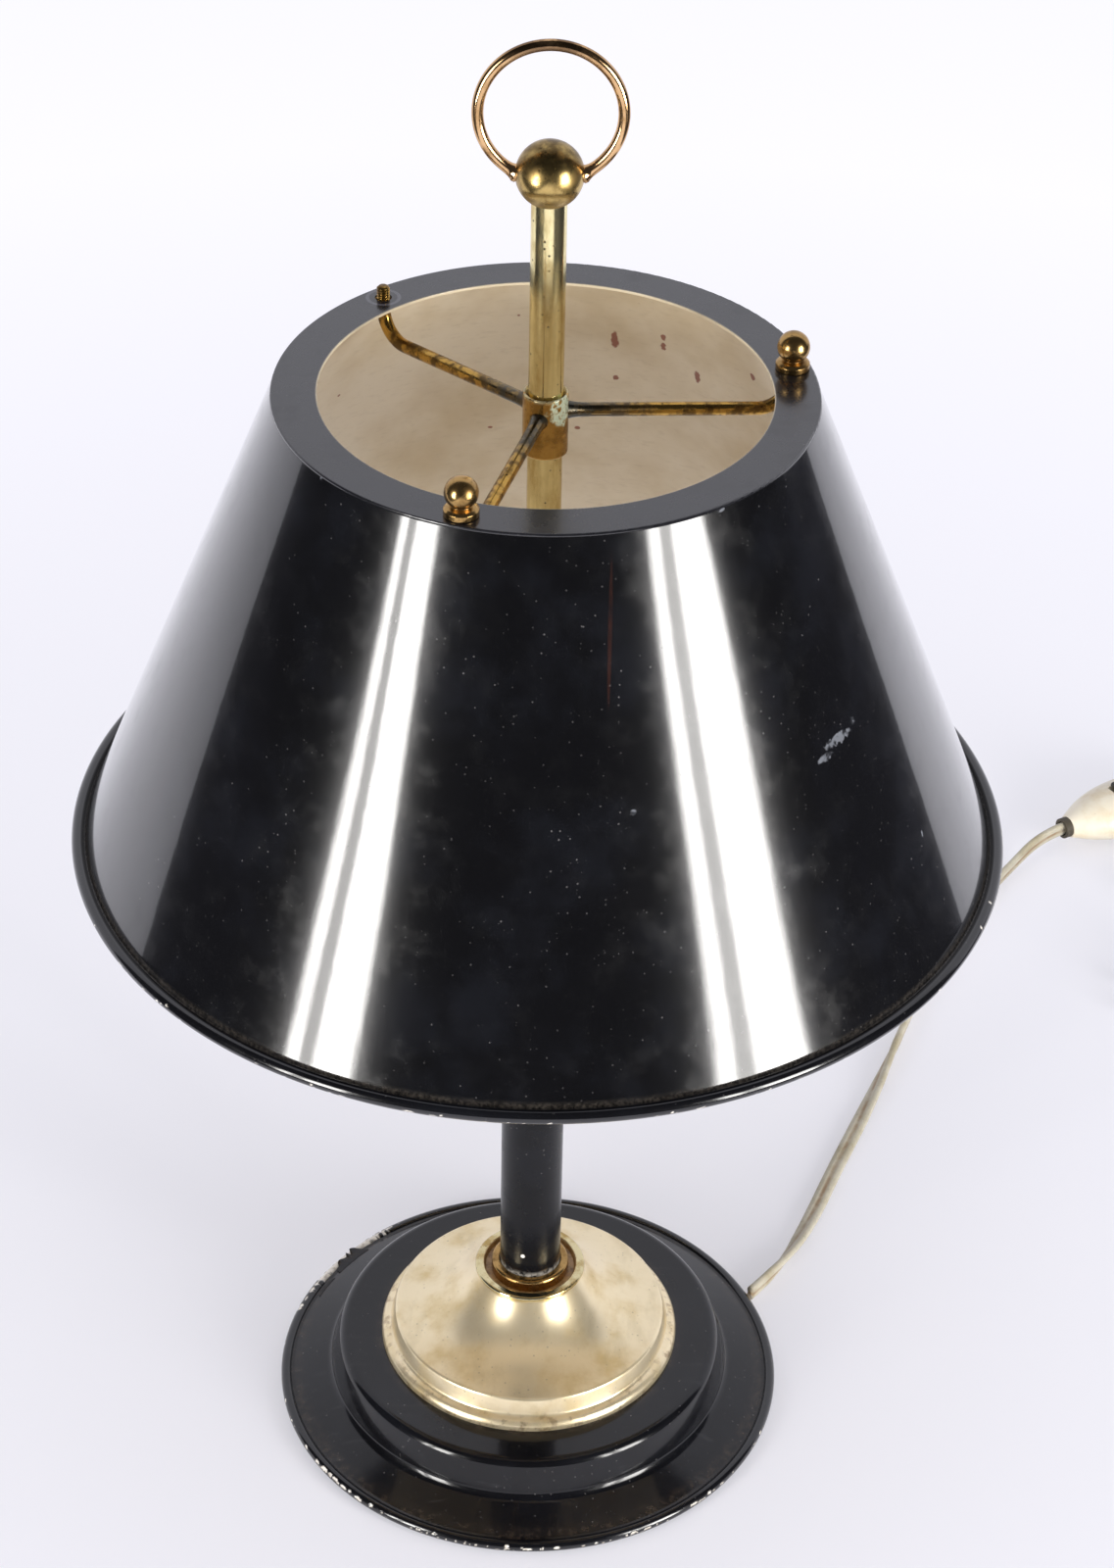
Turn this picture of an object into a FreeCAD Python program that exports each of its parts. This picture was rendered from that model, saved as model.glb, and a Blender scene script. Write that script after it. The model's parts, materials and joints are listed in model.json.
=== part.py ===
import FreeCAD
import Part
import math
import os

# Bouillotte lamp: a stepped black base, a brass dish, a black column with a brass rod above it,
# a conical metal shade clamped on the rod by a three-armed spider, and a ring handle on a ball.
# Millimetres. +Z is up, the origin is on the table under the centre of the base, and the camera
# side is -Y.

V = FreeCAD.Vector
UP = V(0, 0, 1)
EPS = 1e-6

# Fits
thread_gap = 0.05        # radial gap of a screwed joint
running_gap = 0.1        # radial gap of the collar on the rod
bore_gap = 0.3           # radial gap where the threaded tube only passes through
shell_gap = 0.3          # gap between loose-fitting housings

# Base: spun black pan over a cast weight, with a felt under it
base_radius = 84.0
bead_section = 1.9       # radius of the rolled rim's section
rim_clearance = 1.0      # the rolled rim clears the table by this much
pan_wall = 1.0
groove_width = 0.6       # between the rolled rim and the sloping flange
flange_foot_z = 4.0
flange_foot_fillet = 1.2
flange_width = 17.4      # from the rim to the foot of the step
step_foot_z = 8.6
step_foot_fillet = 3.5
step_draft = 3.2         # how far the step leans in, foot to top
tier_height = 21.5
tier_edge_fillet = 3.2
felt_thickness = 2.0
felt_inset = 0.6         # inside the foot of the step
weight_clearance = 3.9   # between the tier's radius and the weight's
weight_foot_width = 4.0
weight_foot_height = 5.0
weight_fillet = 1.0
weight_pocket_radius = 17.0
weight_pocket_roof = 5.0     # iron left above the nut's pocket

# Threaded tube, nut and washer that hold the base, the dish and the column together
tube_radius = 5.0
tube_bore = 4.0
tube_below_nut = 1.0
tube_above_hub_floor = 1.0
nut_height = 4.0
nut_flats = 14.0
washer_radius = 13.0
washer_thickness = 1.2

# Brass dish, cup and foot ring
dish_radius = 49.6
dish_wall = 0.8
dish_lip_height = 2.8
dish_lip_fillet = 1.6
dish_lip_width = 3.2
dish_lip_slope = 1.1         # rise of the lip's top towards the step
dish_lip_inner_fillet = 1.4
dish_step_radius = 44.9
dish_step_height = 9.9
dish_step_fillet = 1.3
dish_bell_foot_radius = 27.3
dish_bell_rise = 2.0
dish_bell_fillet = 33.0
dish_top_radius = 16.8
dish_top_fillet = 1.2
dish_height = 26.7
cup_radius = 18.2
cup_foot_radius = 16.4
cup_inner_radius = 15.2
cup_inner_draft = 0.3
cup_floor = 0.8
cup_height = 2.9
cup_foot_fillet = 0.4
cup_belly_fillet = 0.6
cup_lip_fillet = 0.9
cup_mouth_fillet = 0.7
cup_floor_fillet = 0.5
foot_ring_radius = 12.8
foot_ring_height = 4.2
foot_ring_fillet = 1.2
foot_ring_bore_fillet = 0.4

# Column
column_radius = 10.0
column_wall = 1.0
column_length = 157.0

# Lamp cluster hidden under the shade
hub_radius = 13.0
hub_wall = 2.5
hub_height = 22.0
hub_floor = 4.0
hub_spigot = 4.0
hub_spigot_fillet = 0.5
hub_fillet = 1.0
hub_cap_height = 4.0
hub_cap_fillet = 2.0
hub_cap_spigot = 3.0
hub_cap_bore_fillet = 0.4
socket_spread = 35.0     # from the lamp's axis to each lampholder's axis
socket_azimuth = -18.0
socket_arm_radius = 5.0
socket_arm_bore = 3.9
socket_arm_bend = 12.0
socket_arm_height = 12.0     # of the arm's axis above the hub's foot
socket_arm_rise = 21.0
socket_arm_grip = 7.0        # length of the arm inside the lampholder's cap
socket_arm_let_in = 2.0      # length of the arm inside the hub's wall

# Lampholder for a small screw cap, 14 mm thread
holder_boss_radius = 8.0
holder_boss_height = 6.0
holder_boss_fillet = 0.7
holder_radius = 13.8
holder_shoulder_height = 11.0
holder_shoulder_fillet = 1.2
holder_cap_height = 18.0
holder_cap_wall = 2.3
holder_cap_roof = 1.5        # of the cap's wall over the boss
holder_stop_width = 1.2      # ledge round the arm's end inside the cap
holder_stop_height = 1.0
holder_shell_wall = 1.5
holder_shell_height = 33.0
holder_shell_fillet = 2.2
holder_mouth_radius = 8.2
holder_mouth_fillet = 0.5
holder_core_height = 7.0
screw_radius = 6.9
screw_wall = 0.6
screw_length = 20.0
screw_flange_radius = 10.8
contact_radius = 3.0
contact_height = 2.6
contact_well_depth = 3.0     # the contact stands in a well in the core, below the thread
contact_well_gap = 0.4
contact_tip = 0.6            # radius of the contact's raised tip, as a share of its plate
contact_tip_fillet = 0.6
wire_radius = 1.4
wire_gap = 0.2               # between the cord's end and the wires in the hub

# Rod, ball and ring handle
rod_radius = 5.0
rod_bore = 3.9
rod_length = 221.5
ball_radius = 9.5
ball_socket_depth = 7.2      # from the ball's lowest point to the rod's end
ring_radius = 19.8
ring_wire_radius = 1.5
ring_lift = 17.7             # the ring's centre above the ball's centre

# Shade: rolled cone, flat top ring, wired rim
shade_rim_height = 234.0     # of the rim wire's centre above the table
shade_height = 148.4         # from there to the top of the flat ring
shade_rim_radius = 141.0
rim_wire_radius = 1.6
cone_foot_radius = 136.9
cone_top_radius = 77.4
cone_foot_rise = 0.6
cone_foot_fillet = 0.8
shade_wall = 0.8
flat_ring_width = 13.1       # from the cone's top edge in to the opening
flat_ring_outer_fillet = 0.5
flat_ring_inner_fillet = 0.3
stud_inset = 5.9             # of the studs from the cone's top edge
stud_hole_radius = 2.5
stud_azimuths = {"1": -107.8, "2": 12.2, "3": 132.2}

# Spider: collar on the rod, three bent arms that end in studs
collar_radius = 6.5
collar_height = 19.0
collar_drop = 0.4            # the collar's top lies this much under the flat ring's top
collar_countersink = 0.5
collar_fillet = 0.5
collar_bore_fillet = 0.3
arm_radius = 2.0
arm_root_drop = 6.9          # below the flat ring's top, where an arm leaves the collar
arm_root_depth = 1.0         # how far an arm's end is let into the collar's wall
arm_sag = 6.1                # how much lower an arm lies at the stud circle
arm_bend = 9.0
stud_height = 3.8            # of a stud above the flat ring
seat_nut_flats = 7.0
seat_nut_height = 2.2
clamp_screw_radius = 2.0
clamp_screw_height = 5.0     # above the collar's foot
clamp_screw_head_radius = 3.2
clamp_screw_head_height = 2.4
clamp_screw_neck = 0.6       # thread left between the collar and the head
clamp_screw_slot = 0.8

# Ball nuts on the studs
ball_nut_radius = 4.7
ball_nut_height = 11.5
ball_nut_skirt_radius = 4.9
ball_nut_skirt_height = 1.9
ball_nut_skirt_slope = 0.7
ball_nut_foot_bevel = 0.3
ball_nut_neck_radius = 2.9
ball_nut_bore_depth = 5.5
ball_nut_seat_gap = 0.05

# Flat twin cord, 5.8 mm wide: inside the lamp it has its flat section, outside it a round
# tube of its width stands for it
cord_width = 5.8
cord_thickness = 2.9
cord_floor_gap = 0.05
cord_exit_azimuth = 25.5
cord_slot_gap = 0.4
cord_rim_reach = 0.3         # how far the inner cord reaches past the rim
cord_bend_inside = 7.0

# In-line switch
switch_start = V(217.0, 308.0, 0)
switch_azimuth = 30.0
switch_length = 66.0
switch_width = 29.0
switch_height = 20.5
switch_neck_width = 9.4
switch_neck_height = 8.8
switch_foot_cut = 0.25       # flat ground on the lower shell
switch_swell = {-1.0: 0.0, -0.82: 0.36, -0.5: 0.8, 0.0: 1.0, 0.5: 0.8, 0.82: 0.36, 1.0: 0.0}
switch_gland_length = 3.0
switch_gland_radius = 4.2
rocker_length = 20.0
rocker_width = 8.4
rocker_height = 6.0          # of its ridge above the pivot
rocker_end_height = 4.4
rocker_root = 3.0            # half width of the rocker's lower edge
rocker_root_depth = 2.4      # of that edge below the pivot
rocker_ridge_radius = 14.0
rocker_end_fillet = 0.6
rocker_foot_fillet = 0.5
rocker_root_fillet = 2.0
rocker_tilt = 9.0
rocker_pivot_height = 5.5    # above the switch's middle plane
rocker_gap = 0.4
rocker_sweep = 1.0           # room for the rocker's ends as it tilts
pin_radius = 1.0
pin_grip = 2.5
switch_screw_radius = 1.4
switch_screw_head_radius = 2.5
switch_screw_head_height = 1.8
switch_screw_length = 9.0
switch_screw_offset = 17.0
switch_screw_recess = 2.2    # of its head's face above the switch's foot

# Coil of the length that is put away, with its tie, and the plug
coil_centre = V(297.0, 266.0, 0)
coil_outer_radius = 43.1
coil_turns_per_layer = 3
coil_gap = 0.6
tie_thickness = 0.9
tie_width = 9.0
tie_gap = 0.4
tie_sag_allowance = 0.5      # the turns curve across the tie's width
plug_cord_end = V(306.5, 203.0, 0)
plug_length = 34.0
plug_width = 35.3
plug_thickness = 13.7
plug_back_width = 13.0
plug_back_fillet = 3.0
plug_shoulder = 16.0
plug_shoulder_fillet = 9.0
plug_front_fillet = 5.0
plug_edge_fillet = 2.5
plug_relief_length = 20.0
plug_relief_radius = 5.2
plug_relief_tip_radius = 3.9
plug_pin_radius = 2.0
plug_pin_length = 19.0
plug_pin_spacing = 18.6

# Radii and heights that follow
step_foot_radius = base_radius - flange_width
tier_radius = step_foot_radius - step_draft
felt_radius = step_foot_radius - felt_inset
weight_radius = tier_radius - weight_clearance
weight_foot_radius = weight_radius + weight_foot_width
shade_opening_radius = cone_top_radius - flat_ring_width
stud_circle_radius = cone_top_radius - stud_inset
pan_underside = tier_height - pan_wall
weight_pocket_top = pan_underside - weight_pocket_roof
washer_z = weight_pocket_top - washer_thickness
nut_z = washer_z - nut_height
dish_top = tier_height + dish_height
cup_seat = dish_top + cup_floor
column_top = cup_seat + column_length
hub_top = column_top + hub_height
arm_axis_z = column_top + socket_arm_height
holder_z = arm_axis_z + socket_arm_rise - socket_arm_grip
rod_foot = hub_top - hub_cap_spigot
rod_top = rod_foot + rod_length
ball_z = rod_top - ball_socket_depth + ball_radius
ring_z = ball_z + ring_lift
shade_top = shade_rim_height + shade_height
ring_seat = shade_top - shade_wall
collar_top = shade_top - collar_drop
collar_foot = collar_top - collar_height
clamp_screw_z = collar_foot + clamp_screw_height
cord_radius = cord_width / 2
cord_z = cord_radius + cord_floor_gap
switch_z = switch_height / 2 - switch_foot_cut
coil_pitch = cord_width + coil_gap
coil_low_z = tie_thickness + tie_gap + cord_radius
coil_high_z = coil_low_z + coil_pitch


def polar(radius, azimuth, z=0.0):
    """Point at a radius and an azimuth in degrees, counted from +X towards +Y."""
    angle = math.radians(azimuth)
    return V(radius * math.cos(angle), radius * math.sin(angle), z)


def rounded_wire(points, radii, closed=False):
    """Straight runs through the points, with a tangent arc of each point's radius at its corner."""
    count = len(points)
    starts, middles, ends = [], [], []
    for i in range(count):
        here = points[i]
        is_end = not closed and i in (0, count - 1)
        if is_end or radii[i] < EPS:
            starts.append(here)
            middles.append(None)
            ends.append(here)
            continue
        back = (points[i - 1] - here).normalize()
        ahead = (points[(i + 1) % count] - here).normalize()
        half_turn = (math.pi - back.getAngle(ahead)) / 2
        reach = radii[i] * math.tan(half_turn)
        inward = (back + ahead).normalize()
        starts.append(here + back * reach)
        middles.append(here + inward * (radii[i] / math.cos(half_turn) - radii[i]))
        ends.append(here + ahead * reach)
    edges = []
    for i in range(count):
        if middles[i] is not None:
            edges.append(Part.Arc(starts[i], middles[i], ends[i]).toShape())
        if i == count - 1 and not closed:
            break
        following = starts[(i + 1) % count]
        if (following - ends[i]).Length > EPS:
            edges.append(Part.LineSegment(ends[i], following).toShape())
    return Part.Wire(edges)


def turned(outline):
    """Solid of revolution about the lamp's axis, from (radius, height, corner radius) points."""
    points = [V(r, 0, z) for r, z, _ in outline]
    wire = rounded_wire(points, [corner for _, _, corner in outline], closed=True)
    return Part.Face(wire).revolve(V(0, 0, 0), UP, 360)


def spun(outline, wall):
    """Spun sheet: (radius, height, corner radius) points of its outer side, thickened by the wall.

    The wall lies to the left of the direction of travel. Each inner corner is where the two
    parallel lines meet, and its radius grows or shrinks by the wall.
    """
    count = len(outline)
    directions = []
    for i in range(count - 1):
        run = V(outline[i + 1][0] - outline[i][0], 0, outline[i + 1][1] - outline[i][1])
        directions.append(run.normalize())
    lefts = [V(-d.z, 0, d.x) for d in directions]
    inner = []
    for i, (r, z, corner) in enumerate(outline):
        before = lefts[max(i - 1, 0)]
        after = lefts[min(i, count - 2)]
        shift = (before + after) * (wall / (1 + before.dot(after)))
        changed = 0.0
        if corner > 0:
            first, second = directions[i - 1], directions[i]
            left_turn = first.x * second.z - first.z * second.x > 0
            changed = max(corner - wall, 0.0) if left_turn else corner + wall
        inner.append((r + shift.x, z + shift.z, changed))
    return turned(list(outline) + inner[::-1])


def ring(outer, inner, low, high):
    """Plain ring about the lamp's axis between two heights."""
    body = Part.makeCylinder(outer, high - low, V(0, 0, low))
    return body.cut(Part.makeCylinder(inner, high - low, V(0, 0, low)))


def hexagon(flats, height):
    """Hexagonal prism standing on z = 0."""
    corners = [polar(flats / math.sqrt(3), 60 * i) for i in range(7)]
    return Part.Face(Part.makePolygon(corners)).extrude(V(0, 0, height))


def round_bar(path, radius):
    """Round bar or tube stretch along a wire, as a closed solid."""
    first = path.OrderedEdges[0]
    start = first.valueAt(first.FirstParameter)
    heading = first.tangentAt(first.FirstParameter)
    section = Part.Wire(Part.Circle(start, heading, radius).toShape())
    return path.makePipeShell([section], True, False)


def free_cord(points, name):
    """Cord stretch: straight runs and tangent arcs, each as large as its two runs allow."""
    radii = [0.0] * len(points)
    for i in range(1, len(points) - 1):
        back = points[i - 1] - points[i]
        ahead = points[i + 1] - points[i]
        half_turn = (math.pi - back.getAngle(ahead)) / 2
        radii[i] = 0.45 * min(back.Length, ahead.Length) / math.tan(half_turn)
    path = rounded_wire(points, radii)
    solid = round_bar(path, cord_radius)
    expected = math.pi * cord_radius ** 2 * path.Length
    print(name, "length %.1f" % path.Length, "radii", ["%.0f" % r for r in radii[1:-1]],
          "volume / section x length %.4f" % (solid.Volume / expected))
    return solid


def placed(shape, position, azimuth=0.0):
    """Copy of a shape turned about Z by the azimuth and then moved to the position."""
    moved = shape.copy()
    moved.rotate(V(0, 0, 0), UP, azimuth)
    moved.translate(position)
    return moved


def save(name, *solids):
    """Write one node's STEP file, from one solid or from several separate ones."""
    for solid in solids:
        if not solid.isValid() or len(solid.Solids) != 1:
            raise ValueError("%s is not one valid solid" % name)
    shape = solids[0].Solids[0] if len(solids) == 1 else Part.makeCompound(list(solids))
    shape.exportStep("parts/%s.step" % name)
    print("%-22s solids %d  volume %.1f" % (name, len(shape.Solids), shape.Volume))


def slot_cutter(width, low, high, inner, outer, azimuth):
    """Box along a radius, for cutting the cord's way through a piece."""
    box = Part.makeBox(outer - inner, width, high - low, V(inner, -width / 2, low))
    return placed(box, V(0, 0, 0), azimuth)


def make_base():
    """Spun pan with its rolled rim, the iron weight in it and the felt under it."""
    bead_z = rim_clearance + bead_section
    rim_start = base_radius - bead_section
    slope_start = rim_start - bead_section - groove_width
    pan = spun([
        (rim_start, flange_foot_z, 0),
        (slope_start, flange_foot_z, flange_foot_fillet),
        (step_foot_radius, step_foot_z, step_foot_fillet),
        (tier_radius, tier_height, tier_edge_fillet),
        (tube_radius + bore_gap, tier_height, 0),
    ], pan_wall)
    bead = Part.makeTorus(rim_start, bead_section, V(0, 0, bead_z))
    pan = pan.fuse(bead)
    notch_width = cord_width + 2 * cord_slot_gap
    notch_top = cord_floor_gap + cord_thickness + cord_slot_gap
    pan = pan.cut(slot_cutter(notch_width, 0, notch_top, rim_start - 3 * bead_section,
                              base_radius + bead_section, cord_exit_azimuth))
    save("base_pan", pan)

    weight = turned([
        (tube_radius + bore_gap, pan_underside, 0),
        (tube_radius + bore_gap, weight_pocket_top, 0),
        (weight_pocket_radius, weight_pocket_top, 0),
        (weight_pocket_radius, felt_thickness, 0),
        (weight_foot_radius, felt_thickness, weight_fillet),
        (weight_foot_radius, felt_thickness + weight_foot_height, weight_fillet),
        (weight_radius, felt_thickness + weight_foot_height, 0),
        (weight_radius, pan_underside, weight_fillet),
    ])
    groove_top = felt_thickness + cord_thickness + 2 * cord_slot_gap
    weight = weight.cut(slot_cutter(notch_width, 0, groove_top, 0, base_radius, cord_exit_azimuth))
    save("base_weight", weight)

    save("base_felt", Part.makeCylinder(felt_radius, felt_thickness))


def make_clamping_stack():
    """Threaded tube from the nut under the base up into the hub, with the nut and its washer."""
    tube_foot = nut_z - tube_below_nut
    tube_top = column_top + hub_floor + tube_above_hub_floor
    save("threaded_tube", ring(tube_radius, tube_bore, tube_foot, tube_top))
    nut = placed(hexagon(nut_flats, nut_height), V(0, 0, nut_z))
    bore = Part.makeCylinder(tube_radius + thread_gap, nut_height, V(0, 0, nut_z))
    save("base_nut", nut.cut(bore))
    save("base_washer", ring(washer_radius, tube_radius + bore_gap, washer_z, weight_pocket_top))


def make_dish():
    """Bell-shaped brass dish on the base, the small cup on it and the column's foot ring."""
    z = tier_height
    save("brass_dish", spun([
        (dish_radius, z, 0),
        (dish_radius, z + dish_lip_height, dish_lip_fillet),
        (dish_radius - dish_lip_width, z + dish_lip_height + dish_lip_slope, dish_lip_inner_fillet),
        (dish_step_radius, z + dish_step_height, dish_step_fillet),
        (dish_bell_foot_radius, z + dish_step_height + dish_bell_rise, dish_bell_fillet),
        (dish_top_radius, dish_top, dish_top_fillet),
        (tube_radius + bore_gap, dish_top, 0),
    ], dish_wall))
    save("neck_cup", turned([
        (tube_radius + bore_gap, dish_top, 0),
        (cup_foot_radius, dish_top, cup_foot_fillet),
        (cup_radius, dish_top + cup_height / 2, cup_belly_fillet),
        (cup_radius, dish_top + cup_height, cup_lip_fillet),
        (cup_inner_radius, dish_top + cup_height, cup_mouth_fillet),
        (cup_inner_radius - cup_inner_draft, cup_seat, cup_floor_fillet),
        (tube_radius + bore_gap, cup_seat, 0),
    ]))
    foot_inner = column_radius + running_gap
    save("column_foot_ring", turned([
        (foot_inner, cup_seat, 0),
        (foot_ring_radius, cup_seat, 0),
        (foot_ring_radius, cup_seat + foot_ring_height, foot_ring_fillet),
        (foot_inner, cup_seat + foot_ring_height, foot_ring_bore_fillet),
    ]))
    save("column_tube", ring(column_radius, column_radius - column_wall, cup_seat, column_top))


def socket_arm_path(start_radius, end_z):
    """Line of a lamp arm in the XZ plane: out of the hub, round the bend and up."""
    points = [V(start_radius, 0, arm_axis_z), V(socket_spread, 0, arm_axis_z),
              V(socket_spread, 0, end_z)]
    return rounded_wire(points, [0, socket_arm_bend, 0])


def make_cluster():
    """Hub on the column's top, its cap that carries the rod, and the two lamp arms."""
    cavity = hub_radius - hub_wall
    spigot = column_radius - column_wall - running_gap
    hub = turned([
        (tube_radius + thread_gap, column_top - hub_spigot, 0),
        (spigot, column_top - hub_spigot, hub_spigot_fillet),
        (spigot, column_top, 0),
        (hub_radius, column_top, hub_fillet),
        (hub_radius, hub_top, 0),
        (cavity, hub_top, 0),
        (cavity, column_top + hub_floor, 0),
        (tube_radius + thread_gap, column_top + hub_floor, 0),
    ])
    for side in (0, 180):
        hole = Part.makeCylinder(socket_arm_radius + thread_gap, 2 * hub_radius,
                                 V(0, 0, arm_axis_z), V(1, 0, 0))
        hub = hub.cut(placed(hole, V(0, 0, 0), socket_azimuth + side))
    save("cluster_hub", hub)
    save("cluster_cap", turned([
        (rod_radius + thread_gap, hub_top - hub_cap_spigot, 0),
        (cavity - running_gap, hub_top - hub_cap_spigot, hub_cap_bore_fillet),
        (cavity - running_gap, hub_top, 0),
        (hub_radius, hub_top, 0),
        (hub_radius, hub_top + hub_cap_height, hub_cap_fillet),
        (rod_radius + thread_gap, hub_top + hub_cap_height, hub_cap_bore_fillet),
    ]))
    arm_line = socket_arm_path(hub_radius - socket_arm_let_in, arm_axis_z + socket_arm_rise)
    arm = round_bar(arm_line, socket_arm_radius).cut(round_bar(arm_line, socket_arm_bore))
    for number, side in (("1", 0), ("2", 180)):
        save("socket_arm_" + number, placed(arm, V(0, 0, 0), socket_azimuth + side))


def holder_pieces():
    """One lampholder on the lamp's axis, its cap standing on z = 0, as named solids."""
    bore = socket_arm_radius + thread_gap
    cap_inner = holder_radius - holder_cap_wall
    shell_inner = holder_radius - holder_shell_wall
    core_z = holder_cap_height
    thread_z = core_z + holder_core_height
    top = holder_cap_height + holder_shell_height
    cap = turned([
        (bore, 0, 0),
        (holder_boss_radius, 0, holder_boss_fillet),
        (holder_boss_radius, holder_boss_height, holder_boss_fillet),
        (holder_radius, holder_shoulder_height, holder_shoulder_fillet),
        (holder_radius, core_z, 0),
        (cap_inner, core_z, 0),
        (cap_inner, holder_shoulder_height + holder_cap_roof, 0),
        (bore + holder_stop_width, socket_arm_grip + holder_stop_height, 0),
        (bore, socket_arm_grip + holder_stop_height, 0),
    ])
    shell = turned([
        (shell_inner, core_z, 0),
        (holder_radius, core_z, 0),
        (holder_radius, top, holder_shell_fillet),
        (holder_mouth_radius, top, holder_mouth_fillet),
        (holder_mouth_radius, top - holder_shell_wall, 0),
        (shell_inner, top - holder_shell_wall, holder_shell_fillet - holder_shell_wall),
    ])
    well = contact_radius + contact_well_gap
    contact_z = thread_z - contact_well_depth
    core = turned([
        (0, core_z, 0),
        (shell_inner - shell_gap, core_z, 0),
        (shell_inner - shell_gap, thread_z, 0),
        (well, thread_z, 0),
        (well, contact_z, 0),
        (0, contact_z, 0),
    ])
    screw = turned([
        (screw_radius, thread_z, 0),
        (screw_flange_radius, thread_z, 0),
        (screw_flange_radius, thread_z + screw_wall, 0),
        (screw_radius + screw_wall, thread_z + screw_wall, 0),
        (screw_radius + screw_wall, thread_z + screw_length, 0),
        (screw_radius, thread_z + screw_length, 0),
    ])
    contact = turned([
        (0, contact_z, 0),
        (contact_radius, contact_z, 0),
        (contact_radius, contact_z + screw_wall, 0),
        (contact_radius * contact_tip, contact_z + contact_height, contact_tip_fillet),
        (0, contact_z + contact_height, 0),
    ])
    return {"holder_cap": cap, "holder_shell": shell, "holder_core": core,
            "holder_screw": screw, "holder_contact": contact}


def make_holders():
    """The two lampholders on the ends of the lamp arms."""
    pieces = holder_pieces()
    for number, side in (("1", 0), ("2", 180)):
        place = polar(socket_spread, socket_azimuth + side, holder_z)
        for name, solid in pieces.items():
            save(name + "_" + number, placed(solid, place))


def make_inner_wiring():
    """Flat cord from the rim notch along the weight's groove and up the threaded tube, and the
    two wires from the hub to the lampholders."""
    low = cord_floor_gap + cord_thickness / 2
    groove = felt_thickness + cord_slot_gap + cord_thickness / 2
    wire_start = wire_radius + wire_gap
    top = arm_axis_z - wire_radius - wire_gap
    x = base_radius + cord_rim_reach
    rise_end = felt_radius + felt_thickness
    rise_start = (x + 2 * rise_end) / 3
    rise = V(rise_end - rise_start, 0, groove - low)
    half_turn = math.atan2(rise.z, -rise.x) / 2
    rise_bend = 0.45 * min(rise.Length, x - rise_start) / math.tan(half_turn)
    points = [V(x, 0, low), V(rise_start, 0, low), V(rise_end, 0, groove), V(0, 0, groove),
              V(0, 0, top)]
    path = rounded_wire(points, [0, rise_bend, rise_bend, cord_bend_inside, 0])
    round_edge = cord_thickness / 2
    half = cord_width / 2 - round_edge
    right = Part.Arc(V(x, half, low - round_edge), V(x, half + round_edge, low),
                     V(x, half, low + round_edge)).toShape()
    left = Part.Arc(V(x, -half, low + round_edge), V(x, -half - round_edge, low),
                    V(x, -half, low - round_edge)).toShape()
    upper = Part.LineSegment(V(x, half, low + round_edge), V(x, -half, low + round_edge)).toShape()
    lower = Part.LineSegment(V(x, -half, low - round_edge), V(x, half, low - round_edge)).toShape()
    section = Part.Wire([right, upper, left, lower])
    cord = path.makePipeShell([section], True, False)
    save("inner_cord", placed(cord, V(0, 0, 0), cord_exit_azimuth))

    line = socket_arm_path(wire_start, holder_z + holder_cap_height)
    wire = round_bar(line, wire_radius)
    save("holder_wires", placed(wire, V(0, 0, 0), socket_azimuth),
         placed(wire, V(0, 0, 0), socket_azimuth + 180))


def make_handle():
    """Brass rod on the hub, the ball screwed on its top and the ring let into the ball's sides."""
    save("center_rod", ring(rod_radius, rod_bore, rod_foot, rod_top))
    centre = V(0, 0, ball_z)
    ball = Part.makeSphere(ball_radius, centre)
    socket_foot = ball_z - 2 * ball_radius
    socket_hole = Part.makeCylinder(rod_radius + thread_gap, rod_top - socket_foot,
                                    V(0, 0, socket_foot))
    loop = Part.makeTorus(ring_radius, ring_wire_radius, V(0, 0, ring_z), V(0, 1, 0))
    save("ring_handle", loop.cut(ball))
    save("handle_ball", ball.cut(socket_hole))


def make_shade():
    """Rolled cone with its turned-out foot, the wire in the rim and the flat ring on top."""
    wire_centre = shade_rim_radius - rim_wire_radius
    foot_z = shade_rim_height + cone_foot_rise
    rim_wire = Part.makeTorus(wire_centre, rim_wire_radius, V(0, 0, shade_rim_height))
    slope = (cone_foot_radius - cone_top_radius) / (ring_seat - foot_z)
    over = 3.0          # the cone runs on by this much, and is then cut level
    cone = spun([
        (wire_centre, foot_z, 0),
        (cone_foot_radius, foot_z, cone_foot_fillet),
        (cone_top_radius - slope * over, ring_seat + over, 0),
    ], shade_wall)
    above = Part.makeCylinder(shade_rim_radius, 4 * over, V(0, 0, ring_seat))
    save("shade_cone", cone.cut(above).cut(rim_wire))
    save("shade_rim_wire", rim_wire)

    flat = turned([
        (shade_opening_radius, ring_seat, 0),
        (cone_top_radius, ring_seat, 0),
        (cone_top_radius, shade_top, flat_ring_outer_fillet),
        (shade_opening_radius, shade_top, flat_ring_inner_fillet),
    ])
    for azimuth in stud_azimuths.values():
        place = polar(stud_circle_radius, azimuth, ring_seat)
        flat = flat.cut(Part.makeCylinder(stud_hole_radius, shade_wall, place))
    save("shade_top_ring", flat)


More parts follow.
